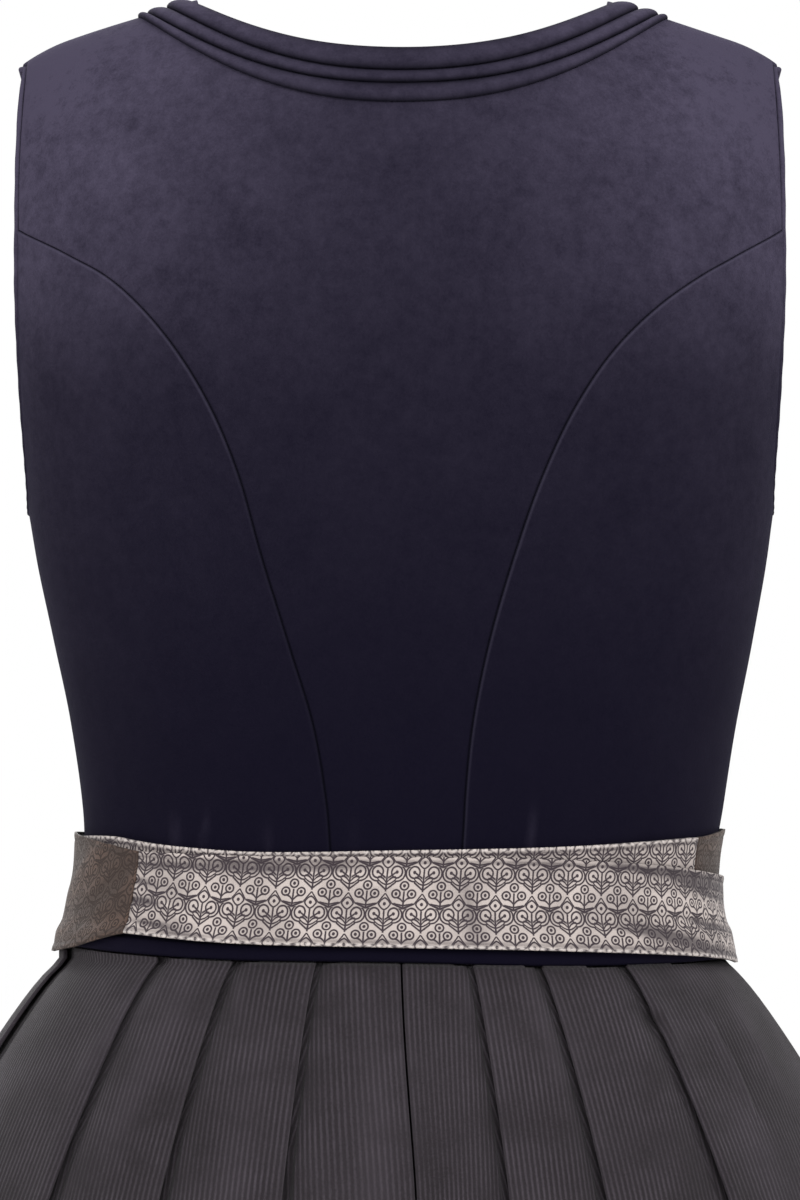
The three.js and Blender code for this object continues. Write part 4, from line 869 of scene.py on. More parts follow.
def pleat_path(side, depth):
    """One side of the skirt at a depth, from the centre front to the centre back: turn, rise, the distance along the
    cloth from the fold that each place belongs to, and that fold's number."""
    z = WAIST_SEAM_Z - depth
    spacing = LAYER_SPACING[0] + LAYER_SPACING[1] * depth / SKIRT_LENGTH
    bend = spacing * FOLD_ROUNDNESS
    folds = PLEAT_FOLDS[side]
    half_turn = np.linspace(0, math.pi, 7)
    path = []
    for k in range(len(folds) - 1, -1, -1):
        degree = float(skirt_degree(folds[k], z))
        pitch = degree * (folds[k] - folds[k - 1] if k else folds[1] - folds[0])
        spare = max((CUT_PER_PLEAT - pitch) / 2, 2 * bend + 2)
        underlap = min(UNDERLAP_SHARE * pitch, spare)
        opening = CENTRE_BACK_OPENING / 2 if k == 0 else 0
        outer_bend = bend * (1 - np.sin(half_turn))
        inner_bend = underlap - bend + bend * np.sin(half_turn)
        away = np.concatenate((outer_bend, [underlap / 2], inner_bend, np.linspace(underlap - bend, -bend - 1, 5)[1:]))
        turned = (1 - np.cos(half_turn)) / 2
        layer = np.concatenate((turned, [1], 1 + turned, [2] * 4))
        is_edge = np.arange(len(away)) == 3
        if k == 0:
            away, layer = away[:-4], layer[:-4]
        turns = folds[k] + (opening + away) / degree
        path += [(turn, -at * spacing, k, edge) for turn, at, edge in zip(turns, layer, is_edge)]
        if k:
            next_degree = float(skirt_degree(folds[k - 1], z))
            start = folds[k] - (bend + 1) / degree
            risen = min(folds[k - 1] + (underlap + bend + 1.5) / next_degree, start - 1.5 / degree)
            end = folds[k - 1] + bend / next_degree
            for share in np.linspace(0, 1, 9)[1:]:
                rise = -2 * spacing * (1 - smooth(share, -0.35, 1.0))
                path.append((start + (risen - start) * share, rise, k - 1, False))
            for share in np.linspace(0, 1, 7)[1:-1]:
                path.append((risen + (end - risen) * share, 0.5 * math.sin(math.pi * share), k - 1, False))
    turn, rise, fold, is_edge = np.array(path).T
    degrees = skirt_degree(turn, z)
    step = np.hypot(np.diff(turn) * (degrees[1:] + degrees[:-1]) / 2, np.diff(rise))
    walked = np.concatenate(([0], np.cumsum(step)))
    edge_at = walked[is_edge == 1][::-1][fold.astype(int)]
    along = (walked - edge_at) * side + fold * CUT_PER_PLEAT
    return side * turn, rise - SKIRT_CLOTH / 2, along, fold


def skirt_rows():
    """Depths of the skirt's rows, closer together near the waist."""
    near_waist = np.array([0, 2, 4.5, 8, 12, 17, 23, 30, 38, 47, 57, 68, 80, 94, 110])
    return np.concatenate((near_waist, np.linspace(128, SKIRT_LENGTH, 34)))


# The centre back leans to the right: degrees at the waist, what is added within the first 120 mm below it, and how far
# round the skirt the lean reaches
LEAN = {"at_waist": 0.6, "added": 1.4, "within": 120, "reach": 9}
# The pleats are pressed flat just behind the right side, where the photo's silhouette shows no gap
PRESSED = {"share": 0.94, "turn": -87, "reach": 6.5}
# How far a pleat's edge wanders in degrees, over what depth, and between which depths this sets in
WANDER = {"turn": 0.35, "wave": 173, "from": 20, "full": 400}
# The slow unevenness of hanging cloth: its height, and between which depths it sets in
DRAPE = {"height": 0.7, "from": 40, "full": 300}
# Of the back's creases, this share is kept in front. Troughs get painted shade and ridges a painted highlight, within
# limits.
FRONT_CREASES = 0.35
CREASE_SHADE = {"strength": -0.55, "lightest": -0.3, "darkest": 0.8}
# Half width of the painted highlight along each fold edge that lies outside
EDGE_SHINE_WIDTH = 1.3


def make_skirt(looks):
    """The five widths of the skirt, cut from one path of knife pleats on each side."""
    depths = skirt_rows()
    sides = []
    for side in (LEFT, RIGHT):
        rows = [pleat_path(side, depth) for depth in depths]
        folds = rows[0][3]
        sides.append(np.array([row[:3] for row in rows]).transpose(0, 2, 1))
    made = []
    depth = depths[:, None]
    for name, path in skirt_widths(*sides, folds).items():
        turn, rise, along = np.moveaxis(path, -1, 0)
        fold = np.round(along / CUT_PER_PLEAT)
        wander = WANDER["turn"] * np.sin(depth / WANDER["wave"] + fold * 1.9)
        wander = wander * smooth(depth, WANDER["from"], WANDER["full"])
        lean = LEAN["at_waist"] + LEAN["added"] * smooth(depth, 0, LEAN["within"])
        rise = rise * (1 - PRESSED["share"] * bell(turn - PRESSED["turn"], PRESSED["reach"]))
        turn = turn + wander * np.cos(np.radians(turn)) ** 2 - lean * bell(turn, LEAN["reach"])
        z = skirt_level(turn, depth)
        flat = skirt_point(turn, z, 0)
        back = smooth(flat[..., 1], -10, 10)
        creases = crease_height(SKIRT_CREASES, flat[..., 0], z) * (FRONT_CREASES + (1 - FRONT_CREASES) * back)
        drape = DRAPE["height"] * np.sin(turn / 6.3 + depth / 95) * np.sin(depth / 120 + 0.6)
        drape = drape * smooth(depth, DRAPE["from"], DRAPE["full"])
        lift = rise + SKIRT_CLOTH / 2 + creases * looks["settings"].crease_strength + drape * back
        points = skirt_point(turn, z, lift)
        uv = np.stack((along, np.broadcast_to(-depth, along.shape)), -1)
        from_edge = np.abs(along - fold * CUT_PER_PLEAT)
        # Painted highlight along the fold edges that lie outside
        shine = bell(from_edge, EDGE_SHINE_WIDTH) * smooth(depth, -5, 10) * (rise > -2 * SKIRT_CLOTH)
        # Painted shade in the creases' troughs and a painted highlight on their ridges
        shade = np.clip(CREASE_SHADE["strength"] * creases, CREASE_SHADE["lightest"], CREASE_SHADE["darkest"])
        attributes = {"edge_shine": shine, "shade": shade * back}
        made.append(cloth(name, points, uv, SKIRT_CLOTH, looks["skirt_cloth"], name, "skirt_cloth", attributes))
    return made


def skirt_widths(left, right, folds):
    """The skirt's path cut into its widths, in the middle of the hidden layer of the seams' folds."""
    front_steps = 25
    pitch_z = -1000.0
    back_end, side_end = (int(np.nonzero(folds == k)[0][-1]) - 2 for k in SKIRT_SEAM_FOLDS)
    round_front = right + (360, 0, 0)
    share = np.linspace(0, 1, front_steps + 1)[1:-1, None]
    front = round_front[:, :1] * (1 - share) + left[:, :1] * share
    first, second = (skirt_point(front[:, i, 0], pitch_z, 0) for i in (0, 1))
    pitch = np.linalg.norm(second - first, axis=-1)
    counted = np.arange(1, front_steps)
    is_right = counted < front_steps / 2
    from_edge = np.where(is_right, counted, counted - front_steps) * pitch[:, None]
    front[..., 2] = np.where(is_right, right[:, :1, 2], left[:, :1, 2]) + from_edge
    return {
        "skirt_front": np.concatenate((round_front[:, side_end::-1], front, left[:, : side_end + 1]), 1),
        "skirt_side_left": left[:, side_end : back_end + 1],
        "skirt_back_left": left[:, back_end:],
        "skirt_back_right": right[:, back_end:],
        "skirt_side_right": right[:, side_end : back_end + 1],
    }


# Apron, sash and bow


def strip_levels():
    """Rows of a strip as shares of its height, closer together beside its hems."""
    near_edge = np.array([0, 0.008, 0.018, 0.03, 0.045, 0.065, 0.09])
    return np.unique(np.concatenate((near_edge, np.linspace(0.12, 0.88, 21), 1 - near_edge)))


STRIP_STEP = 1.4
# A strip's relief: share of the back's creases that is kept in front, how strongly they give it painted shade and
# highlight, with limits, and the most they lift a strip that lies low and one that lies over others
STRIP_FRONT_CREASES = 0.3
STRIP_SHADE = {"strength": -1.5, "lightest": -0.25, "darkest": 0.7}
STRIP_RELIEF = {"low": 0.4, "high": 0.5}
# A hem's ridge and groove: distance from the edge, half width and height, and the painted shadow beside it
HEM_RIDGES = ((1.4, 1.1, 0.12), (3.4, 0.7, -0.16))
HEM_SHADOW = (2.2, 0.8, 0.5)
# A strip gets painted shade towards its ends, where it rounds away, at the left and at the right, between these
# distances from the middle
DARKER_FROM = {"left": (85, 118), "right": (40, 130)}
PALE_ENDS = {"left": 0.14, "right": 0.08}
DARK_ENDS = {"left": 0.45, "right": 0.45}


def make_strip(name, table, ends, lift_at, creases, slot, looks, trims=(), darker=PALE_ENDS):
    """A strip round the waist, with a narrow hem along both edges and a bright stitched line along those in trims."""
    first, last = ends
    turn = np.linspace(first, last, int(abs(last - first) * BOW_DEGREE / STRIP_STEP))[None]
    level = strip_levels()[:, None]
    top, bottom, flare = (column(table, "turn", column_name, turn) for column_name in ("top", "bottom", "flare"))
    z = top + (bottom - top) * level
    base = lift_at(turn) + flare * smooth(FLARE_START_Z - z, 0, FLARE_HEIGHT) + SASH_CLOTH
    x, y, _ = np.moveaxis(bodice_point(turn, z), -1, 0)
    is_back = y > 0
    from_top, from_bottom = top - z, z - bottom
    near = np.minimum(from_top, from_bottom)
    relief = crease_height(creases, x, z) * np.where(is_back, 1, STRIP_FRONT_CREASES)
    relief = relief * looks["settings"].crease_strength + 0.1 * np.sin(turn / 4.3 + z / 11) * np.sin(z / 5.7 - turn / 9)
    hem = sum(height * bell(near - at, half_width) for at, half_width, height in HEM_RIDGES)
    most = STRIP_RELIEF["high" if lift_at(turn).min() > 2 else "low"]
    points = lifted_bodice_point(turn, z, base + np.clip(relief, -STRIP_RELIEF["high"], most) + hem)
    half_way = len(level) // 2
    middle = lines_length(points[half_way][None], 1)
    centre = np.interp(MOTIF_CENTRE_X, *ascending(x[half_way], middle[0], y[half_way]))
    along = np.broadcast_to(middle - centre, z.shape)
    uv = np.stack((along, from_bottom - MOTIF_ABOVE_EDGE), -1)
    distances = {"top": from_top, "bottom": from_bottom}
    trim = sum((stitched_line(distances[edge]) for edge in trims), np.zeros(z.shape))
    # Painted shade towards the ends, painted shade and highlight from the creases, and a painted shadow beside each hem
    at_ends = sum(darker[end] * smooth(way * x, *DARKER_FROM[end]) for end, way in (("left", 1), ("right", -1)))
    folded = np.clip(STRIP_SHADE["strength"] * relief, STRIP_SHADE["lightest"], STRIP_SHADE["darkest"])
    shadow_at, shadow_width, shadow = HEM_SHADOW
    shade = shadow * bell(near - shadow_at, shadow_width) + folded + at_ends * is_back
    return cloth(name, points, uv, SASH_CLOTH, looks[slot], name, slot, {"trim": trim, "shade": shade})


def stitched_line(from_edge):
    """The bright stitched line along an edge."""
    at, half_width = TRIM_LINE
    return bell(from_edge - at, half_width)


def ascending(x, length, y):
    """The part of a line on the back, in order of x, for reading a length at an x."""
    at_back = y > 0
    order = np.argsort(x[at_back])
    return x[at_back][order], length[at_back][order]


def waistband_lift(turn):
    """The waistband lies on the body at the right and climbs over the inner pass at the left."""
    return FIRST_LAYER + (SECOND_LAYER - FIRST_LAYER) * smooth(-turn, -WAISTBAND_STEP[0], -WAISTBAND_STEP[1])


def first_layer(turn):
    return np.full(turn.shape, FIRST_LAYER)


def second_layer(turn):
    return np.full(turn.shape, SECOND_LAYER)


def make_sash(looks):
    """The waistband and the two passes of the tie, each over what was laid before it."""
    ends = (WAISTBAND["turn"][0], WAISTBAND["turn"][-1])
    dark, pale = "dark_jacquard", "pale_jacquard"
    return [
        make_strip("apron_waistband", WAISTBAND, ends, waistband_lift, WAISTBAND_CREASES,
                   dark, looks, darker=DARK_ENDS),
        make_strip("sash_inner_pass", SASH_INNER, SASH_INNER_ENDS, first_layer, SASH_CREASES,
                   pale, looks, trims=("top",)),
        make_strip("sash_outer_pass", SASH_OUTER, SASH_OUTER_ENDS, second_layer, SASH_CREASES,
                   pale, looks, trims=("bottom",)),
    ]


def apron_wave(z):
    """Half height of the apron's gathers."""
    top, hem = APRON_WAVE
    return top + (hem - top) * np.clip((WAIST_SEAM_Z - z) / SKIRT_LENGTH, 0, 1) ** APRON_WAVE_POWER


def apron_inside(z):
    """Distance of the apron's inside from what lies under it."""
    return APRON_TOP_LIFT + (APRON_LIFT - APRON_TOP_LIFT) * np.clip((WAIST_SEAM_Z - z) / APRON_LIFT_DEPTH, 0, 1)


# Depths of the apron's rows below the waist seam
APRON_ROWS = (0, 3, 7, 12, 18, 26, 36, 50, 70, 95, 130, 170, 215, 265, 320, 380, 440, 500, 560, 610, 640, 654, 662)


def make_apron(looks):
    """The apron's gathered skirt, over the front of the skirt between its two edges."""
    share = np.linspace(0, 1, APRON_GATHERS * 14 + 1)[None]
    turn = APRON_EDGE_TURN + (360 - 2 * APRON_EDGE_TURN) * share
    seam_turn = (turn + 180) % 360 - 180
    top = column(WAISTBAND, "turn", "bottom", turn - 360) - SEAM_GAP
    hem = HEM_Z + APRON_SHORTER_THAN_SKIRT
    below = skirt_level(seam_turn, np.array(APRON_ROWS, float)[:, None])
    last = [np.full(share.shape, hem + up) for up in (6, 5, 4.5, 4, 3, 1.5, 0)]
    z = np.concatenate((top, (top + below[:1]) / 2, below, *last))
    uneven = 0.3 * np.sin(5.3 * math.pi * share + z / 260) + 0.2 * np.sin(11 * math.pi * share - z / 190)
    phase = APRON_GATHERS * share + uneven * np.sin(math.pi * share)
    size = 0.8 + 0.2 * np.sin(7.7 * math.pi * share + 1)
    wave = apron_wave(z) * (1 - np.cos(2 * math.pi * phase)) * size
    hem_fold = 0.25 * bell(z - hem - APRON_HEM, 1.2)
    points = over_garment(seam_turn, z, apron_inside(z) + wave + APRON_CLOTH - hem_fold)
    flat_width = lines_length(points, 1)[len(z) // 2][None]
    uv = np.stack((np.broadcast_to(flat_width, z.shape), z), -1)
    trim = 0.5 * bell(z - hem - APRON_HEM, 0.35)
    name = "apron_skirt"
    return [cloth(name, points, uv, APRON_CLOTH, looks["dark_jacquard"], name, "dark_jacquard", {"trim": trim})]


def make_knot(looks):
    """The knot, a padded oval with slanting folds, sunk a little into the sash."""
    rings, around = 18, 36
    lift = SECOND_LAYER + SASH_CLOTH - KNOT_SUNK
    height = -np.cos(math.pi * (np.arange(rings + 1) + 0.35) / (rings + 0.7))[:, None]
    size = np.sqrt(1 - height**2) ** 0.6
    angle = np.linspace(0, 2 * math.pi, around, endpoint=False)[None]
    folds = 1 + 0.05 * np.sin(4.6 * angle + 2.2 * height) * np.clip(np.sin(angle), 0, 1)
    turn = BOW_TURN + 0.5 * KNOT["width"] * size * np.cos(angle) / BOW_DEGREE
    out = lift + 0.5 * KNOT["depth"] * (1 + size * np.sin(angle) * folds)
    points = lifted_bodice_point(turn, BOW_Z + 0.5 * KNOT["height"] * height * np.ones(turn.shape), out)
    return roll("bow_knot", points, looks["pale_jacquard"], "bow_knot", "pale_jacquard", is_loop=False)


def make_loop(side, suffix, looks):
    """A loop of the bow: flat along the sash, round at its end and back over itself to the knot."""
    start = KNOT["width"] / 2 + 0.6
    under = [(start + (0.88 * LOOP_REACH - start) * share, LOOP_UNDER_RISE) for share in np.linspace(0, 1, 7)]
    over = [(0.97, 8), (1, 12.5), (0.94, 17.5), (0.75, 20.5), (0.5, 20.5), (0.32, 18)]
    line = np.array(under + [(share * LOOP_REACH, rise) for share, rise in over] + [(start, 13)])
    out, rise = refine(line, steps(len(line) - 1, 8), 0).T
    level = np.linspace(-1, 1, 25)[:, None]
    wider = LOOP_HALF_WIDTH["more_outside"] * np.sin(math.pi / 2 * np.minimum(out / LOOP_REACH, 1))
    spread = LOOP_HALF_WIDTH["at_knot"] + wider
    on_top = np.arange(len(out)) > 0.55 * len(out)
    gathers = 0.9 * np.cos(3.5 * math.pi * level + 0.7) * (1 - out / LOOP_REACH) * on_top
    sag = 1.2 * np.cos(math.pi * level / 2) * on_top * np.sin(math.pi * out / LOOP_REACH)
    turn = np.broadcast_to(BOW_TURN + side * out / BOW_DEGREE, (len(level), len(out)))
    points = lifted_bodice_point(turn, BOW_Z + LOOP_RAISED + level * spread, rise + gathers - sag)
    walked = lines_length(points, 1)
    uv = np.stack((walked, level * LOOP_HALF_WIDTH["flat"] * np.ones(walked.shape)), -1)
    trim = {"trim": stitched_line((1 - np.abs(level)) * spread)}
    name = f"bow_loop_{suffix}"
    return cloth(name, points, uv, SASH_CLOTH, looks["pale_jacquard"], name, "pale_jacquard", trim, offset=0)


def make_tail(side, suffix, looks):
    """A tail of the bow, hanging over the apron and cut slanting at its end."""
    top_z = BOW_Z - KNOT["height"] / 2 - 1.2
    end_z = float(skirt_level(BOW_TURN, TAIL_END_DEPTH))
    level = np.linspace(0, 1, 70)[:, None]
    z = top_z + (end_z - top_z) * level
    share = np.linspace(-1, 1, 21)[None]
    half_width = TAIL_HALF_WIDTH["at_knot"] + TAIL_HALF_WIDTH["more_below"] * smooth(level, 0, 0.2)
    across = side * (11.5 + 26 * level**0.5) + half_width * share + 0.8 * np.sin(level * 9 + side)
    cut = np.abs(across) * 0.4 * smooth(level, 0.9, 1)
    turn = BOW_TURN + across / skirt_degree(BOW_TURN, z)
    ripple = 0.7 * (1 + np.cos(2.5 * math.pi * share + level * 3)) * (1 - 0.6 * smooth(level, 0, 0.7))
    lift = apron_inside(z) + APRON_CLOTH + 2 * apron_wave(z) + 1.0 + SASH_CLOTH + ripple
    points = over_garment(turn, z + cut, lift)
    uv = np.stack((half_width * share, z * np.ones(share.shape)), -1)
    trim = {"trim": stitched_line(half_width * (1 - np.abs(share)))}
    name = f"bow_tail_{suffix}"
    return cloth(name, points, uv, SASH_CLOTH, looks["pale_jacquard"], name, "pale_jacquard", trim)


def make_bow(looks):
    """The knot, then a loop and a tail on each side of it."""
    made = [make_knot(looks)]
    for side, suffix in ((-1, "left"), (1, "right")):
        made += [make_loop(side, suffix, looks), make_tail(side, suffix, looks)]
    return made


# Materials


class Value:
    """A value in a material's node tree: arithmetic with it adds Math nodes."""

    def __init__(self, socket):
        self.socket = socket

    def node(self, kind, settings, inputs, output=0):
        """Adds any other node, sets it up, and gives one of its outputs."""
        return add_node(self.socket.id_data, kind, settings, inputs, output)

    def math(self, operation, *others):
        return self.node("ShaderNodeMath", {"operation": operation}, dict(enumerate((self, *others))))

    def __add__(self, other):
        return self.math("ADD", other)

    __radd__ = __add__

    def __sub__(self, other):
        return self.math("SUBTRACT", other)

    def __rsub__(self, other):
        return self.node("ShaderNodeMath", {"operation": "SUBTRACT"}, {0: other, 1: self})

    def __mul__(self, other):
        return self.math("MULTIPLY", other)

    __rmul__ = __mul__

    def __truediv__(self, other):
        return self.math("DIVIDE", other)

    def __rtruediv__(self, other):
        return self.node("ShaderNodeMath", {"operation": "DIVIDE"}, {0: other, 1: self})

    def __pow__(self, other):
        return self.math("POWER", other)

    def __neg__(self):
        return self * -1

    def __abs__(self):
        return self.math("ABSOLUTE")

    def sine(self):
        return self.math("SINE")

    def wrapped(self, span):
        """The value wrapped into the span's width round zero."""
        return self.math("WRAP", -span / 2, span / 2)

    def larger(self, other):
        return self.math("MAXIMUM", other)

    def smaller(self, other):
        return self.math("MINIMUM", other)

    def below(self, limit, softness=0.12):
        """1 where the value is under a limit and 0 above it, with a soft step between."""
        ends = {"From Min": limit - softness, "From Max": limit + softness, "To Min": 1.0, "To Max": 0.0}
        return self.node("ShaderNodeMapRange", {"interpolation_type": "SMOOTHSTEP"}, {"Value": self, **ends})

    def above(self, limit, softness=0.12):
        return 1 - self.below(limit, softness)


def add_node(tree, kind, settings, inputs, output=0):
    """Adds a node with its settings and inputs, and gives one of its outputs."""
    made = tree.nodes.new(kind)
    for name, value in settings.items():
        setattr(made, name, value)
    for name, value in inputs.items():
        if isinstance(value, Value):
            tree.links.new(value.socket, made.inputs[name])
        else:
            made.inputs[name].default_value = value
    return Value(made.outputs[output])


def mixed(first, second, factor):
    """A colour between two colours."""
    tree = factor.socket.id_data
    inputs = {"Factor": factor, 6: first, 7: second}
    return add_node(tree, "ShaderNodeMix", {"data_type": "RGBA"}, inputs, 2)


def linear(colour):
    """A display colour, given from 0 to 255, as the renderer's own values."""
    share = [part / 255 for part in colour]
    return (*(part / 12.92 if part <= 0.04045 else ((part + 0.055) / 1.055) ** 2.4 for part in share), 1.0)


def noise(coordinates, scale, detail=3.0, roughness=0.55):
    """Soft unevenness around 0.5, its scale in features for each millimetre."""
    inputs = {"Vector": coordinates, "Scale": scale, "Detail": detail, "Roughness": roughness}
    return coordinates.node("ShaderNodeTexNoise", {}, inputs)


class Cloth:
    """A material being made: its coordinates in millimetres and its shader."""

    def __init__(self, name):
        self.material = bpy.data.materials.new(name)
        self.material.use_nodes = True
        self.tree = self.material.node_tree
        self.tree.nodes.clear()
        place_in_metres = add_node(self.tree, "ShaderNodeTexCoord", {}, {}, "Object")
        scaled = {0: place_in_metres, 1: (1 / MM,) * 3}
        self.place = add_node(self.tree, "ShaderNodeVectorMath", {"operation": "MULTIPLY"}, scaled)
        self.flat = add_node(self.tree, "ShaderNodeUVMap", {"uv_map": "cloth"}, {})
        self.u, self.v = (add_node(self.tree, "ShaderNodeSeparateXYZ", {}, {0: self.flat}, axis) for axis in (0, 1))

    def attribute(self, name):
        return add_node(self.tree, "ShaderNodeAttribute", {"attribute_name": name}, {}, "Fac")

    def finish(self, colour, roughness, height, distance, uniform):
        bump = add_node(self.tree, "ShaderNodeBump", {}, {"Strength": 1.0, "Distance": distance * MM, "Height": height})
        inputs = {"Base Color": colour, "Roughness": roughness, "Normal": bump, **uniform}
        shader = add_node(self.tree, "ShaderNodeBsdfPrincipled", {}, inputs)
        output = self.tree.nodes.new("ShaderNodeOutputMaterial")
        self.tree.links.new(shader.socket, output.inputs["Surface"])
        return self.material


# Colours of the velvet's sheen and of the painted shade in its grooves, from 0 to 255
VELVET_SHEEN_COLOUR = (150, 146, 200)
VELVET_GROOVE_SHADE_COLOUR = (8, 8, 14)


def make_velvet(name, settings):
    """Velvet with painted light, a painted highlight beside the seams and painted shade in the grooves."""
    look = Cloth(name)
    nap = noise(look.place, 0.9, 4.0, 0.75)
    patches = noise(look.place, 0.035, 3.0)
    mottle = noise(look.place, 0.2, 3.0, 0.6)
    pile = noise(look.place, 3.0, 2.0)
    # Painted light: where it is strong, the velvet is mixed towards its lit colour
    painted_light_share = look.attribute("painted_light")
    tone = painted_light_share * (0.9 + (patches - 0.5) * 0.8 + (mottle - 0.5) * 0.9 + (nap - 0.5) * 0.8) + (nap - 0.5) * 0.05
    colour = mixed(settings.velvet_colour, settings.velvet_lit_colour, tone.larger(0).smaller(1))
    # Painted highlight along the seams that roll over
    seam = look.attribute("seam_shine")
    colour = mixed(colour, settings.velvet_seam_highlight_colour, (seam * (0.2 + painted_light_share * 0.4) * (0.6 + nap * 0.6)).smaller(1))
    # Painted shade in the grooves
    colour = mixed(colour, linear(VELVET_GROOVE_SHADE_COLOUR), look.attribute("groove_shade") * 0.8)
    sheen = {"Sheen Weight": 0.03, "Sheen Roughness": 0.35, "Sheen Tint": linear(VELVET_SHEEN_COLOUR)}
    return look.finish(colour, 0.8 + pile * 0.18, nap + pile * 0.6, 0.16, {**sheen, "Specular IOR Level": 0.03})


def make_skirt_cloth(name, settings):
    """The skirt's cloth: fine raised ribs that come and go, over a flecked weave."""
    look = Cloth(name)
    spacing = settings.rib_spacing / MM
    drift = noise(look.flat, 0.25, 2.0) - 0.5
    across = (look.u + drift * 0.5).wrapped(spacing)
    rib = abs(across).below(0.2 * spacing, 0.18 * spacing)
    slub = noise(look.place, 1.1, 3.0, 0.75)
    fibres = noise(look.place, 4.0, 2.0, 0.7)
    worn = noise(look.place, 0.02, 3.0)
    weave = (look.u * 9.5).sine() * (look.v * 9.5).sine()
    patches = noise(look.place, 0.045, 3.0)
    raised = rib * (slub * 0.85 + patches * 1.5 - 0.78).larger(0.06)
    tone = raised + (worn - 0.5) * 0.4 + (fibres - 0.5) * 0.75 + (slub - 0.5) * 0.5 + weave * 0.04 + 0.11
    colour = mixed(settings.skirt_colour, settings.rib_colour, tone.larger(0).smaller(1))
    # Painted highlight along the fold edges that lie outside
    colour = mixed(colour, settings.rib_colour, look.attribute("edge_shine") * (slub * 0.8))
    # Painted shade in the creases' troughs, and a painted highlight on their ridges
    crease_shade = look.attribute("shade")
    colour = mixed(colour, settings.skirt_colour, crease_shade.larger(0).smaller(0.8))
    colour = mixed(colour, settings.rib_colour, (crease_shade * -0.8).larger(0).smaller(0.3))
    uniform = {"Sheen Weight": 0.05, "Sheen Roughness": 0.5, "Specular IOR Level": 0.2}
    return look.finish(colour, 0.85 - rib * 0.12, rib * 0.8 + weave * 0.12 + slub * 0.3 + fibres * 0.25, 0.3, uniform)


def stroke(distance, width, *within):
    """A drawn line: 1 near where the distance is zero, and only where every one of within is 1."""
    line = abs(distance).below(width / 2, 0.16)
    for limit in within:
        line = line * limit
    return line


def bud(x, y, centre, size, width, power=2.0):
    """A ring with a dot in it."""
    across, up = abs(x - centre[0]) / size[0], abs(y - centre[1]) / size[1]
    reach = (across**power + up**power) ** (1 / power)
    dot = ((x - centre[0]) / 0.7) ** 2 + ((y - centre[1]) / 0.8) ** 2
    return stroke((reach - 1) * min(size), width).larger(dot.below(1.0, 0.45))


def jacquard_motif(u, v, repeat, width):
    """The repeat of the cloth: a large pointed medallion with buds and leaves, and a smaller one half way between."""
    across, up = repeat
    x, y = u.wrapped(across), v.wrapped(up)
    a = abs(x)
    leaf, low_leaf = -4.9 + a * 1.65 - a * a * 0.25, -5.5 + a * 0.1 + a * a * 0.13
    arc = ((a - 4.15) ** 2 + (y + 0.3) ** 2) ** 0.5 - 3.7
    shapes = [
        bud(x, y, (0, 4.5), (2.5, 2.6), width, 1.4),
        bud(a, y, (4.2, 0.1), (2.35, 2.6), width),
        stroke(y - 9.2 + a * 1.4, 1.3 * width, a.below(3.2)),
        stroke((y - 4.7 + (a - 3.2) * 0.47) * 0.9, width, a.above(3.2), a.below(8.0)),
        stroke(arc, width, a.above(3.4), y.below(2.6)),
        stroke((y + 7.8 - a * 0.85) * 0.76, width, a.below(4.2)),
        stroke((y - leaf) * 0.8, width, a.below(3.9)),
        stroke(y - low_leaf, width, a.below(4.3)),
        stroke(a, width, y.below(1.6), y.above(-8.6)),
        stroke((y + 0.1 - (3.8 - a) * -0.74) * 0.8, width, a.above(0.5), a.below(3.8), y.below(0.1)),
    ]
    x, y = (u + across / 2).wrapped(across), (v - 9.0).wrapped(up)
    a = abs(x)
    leaf = -3.9 + a * 1.5 - a * a * 0.25
    shapes += [
        bud(x, y, (0, 3.6), (1.75, 1.8), width),
        bud(a, y, (3.4, 0), (1.75, 1.75), width),
        stroke((y - leaf) * 0.8, width, a.below(3.0)),
        stroke(y + 5.2 - a * 0.21, width, a.below(4.2)),
        stroke(y + 6.3 - a * 0.42, width, a.below(4.5)),
        stroke(a, width, y.below(1.2), y.above(-6.5)),
    ]
    motif = shapes[0]
    for shape in shapes[1:]:
        motif = motif.larger(shape)
    return motif


# How strongly the motifs' lines show, and the length of a stitch with its gap
MOTIF_LINE_STRENGTH = 0.85
STITCH_SPACING = 4.3


def make_jacquard(name, settings, ground, line):
    """Jacquard of a ground and a line colour, with a stitched line where trim says so."""
    look = Cloth(name)
    u, v = look.u, look.v
    waver = noise(look.flat, 0.8, 2.0) - 0.5
    fray = noise(look.flat, 3.2, 2.0, 0.7) - 0.5
    repeat = (settings.motif_width / MM, settings.motif_height / MM)
    motif = jacquard_motif(u + waver * 0.3 + fray * 0.22, v + waver * 0.25 - fray * 0.22, repeat, 0.8)
    twill = ((u + v * 1.7) * 13.0).sine()
    threads = (v * 20.0).sine()
    slub = noise(look.flat, 1.4, 3.0, 0.7)
    patches = noise(look.place, 0.04, 2.0)
    # Random tone of the cloth, plus the painted shade and highlight that the strip carries
    shade = (patches - 0.5) * 0.5 + (slub - 0.5) * 0.35 + twill * 0.06 + 0.14 + look.attribute("shade")
    colour = mixed(ground, line, shade.larger(0).smaller(0.85))
    colour = mixed(colour, line, motif * (slub * 0.35 + MOTIF_LINE_STRENGTH).smaller(1))
    dashes = (u * (2 * math.pi / STITCH_SPACING) + waver * 3).sine() * 0.5 + 0.6
    trim = look.attribute("trim")
    colour = mixed(colour, settings.trim_colour, (trim * dashes).smaller(0.85))
    height = threads * 0.12 + twill * 0.15 - motif * 0.5 + trim * dashes
    uniform = {"Sheen Weight": 0.05, "Sheen Roughness": 0.4, "Specular IOR Level": 0.35}
    return look.finish(colour, 0.5 + motif * 0.25 + slub * 0.1, height, 0.12, uniform)


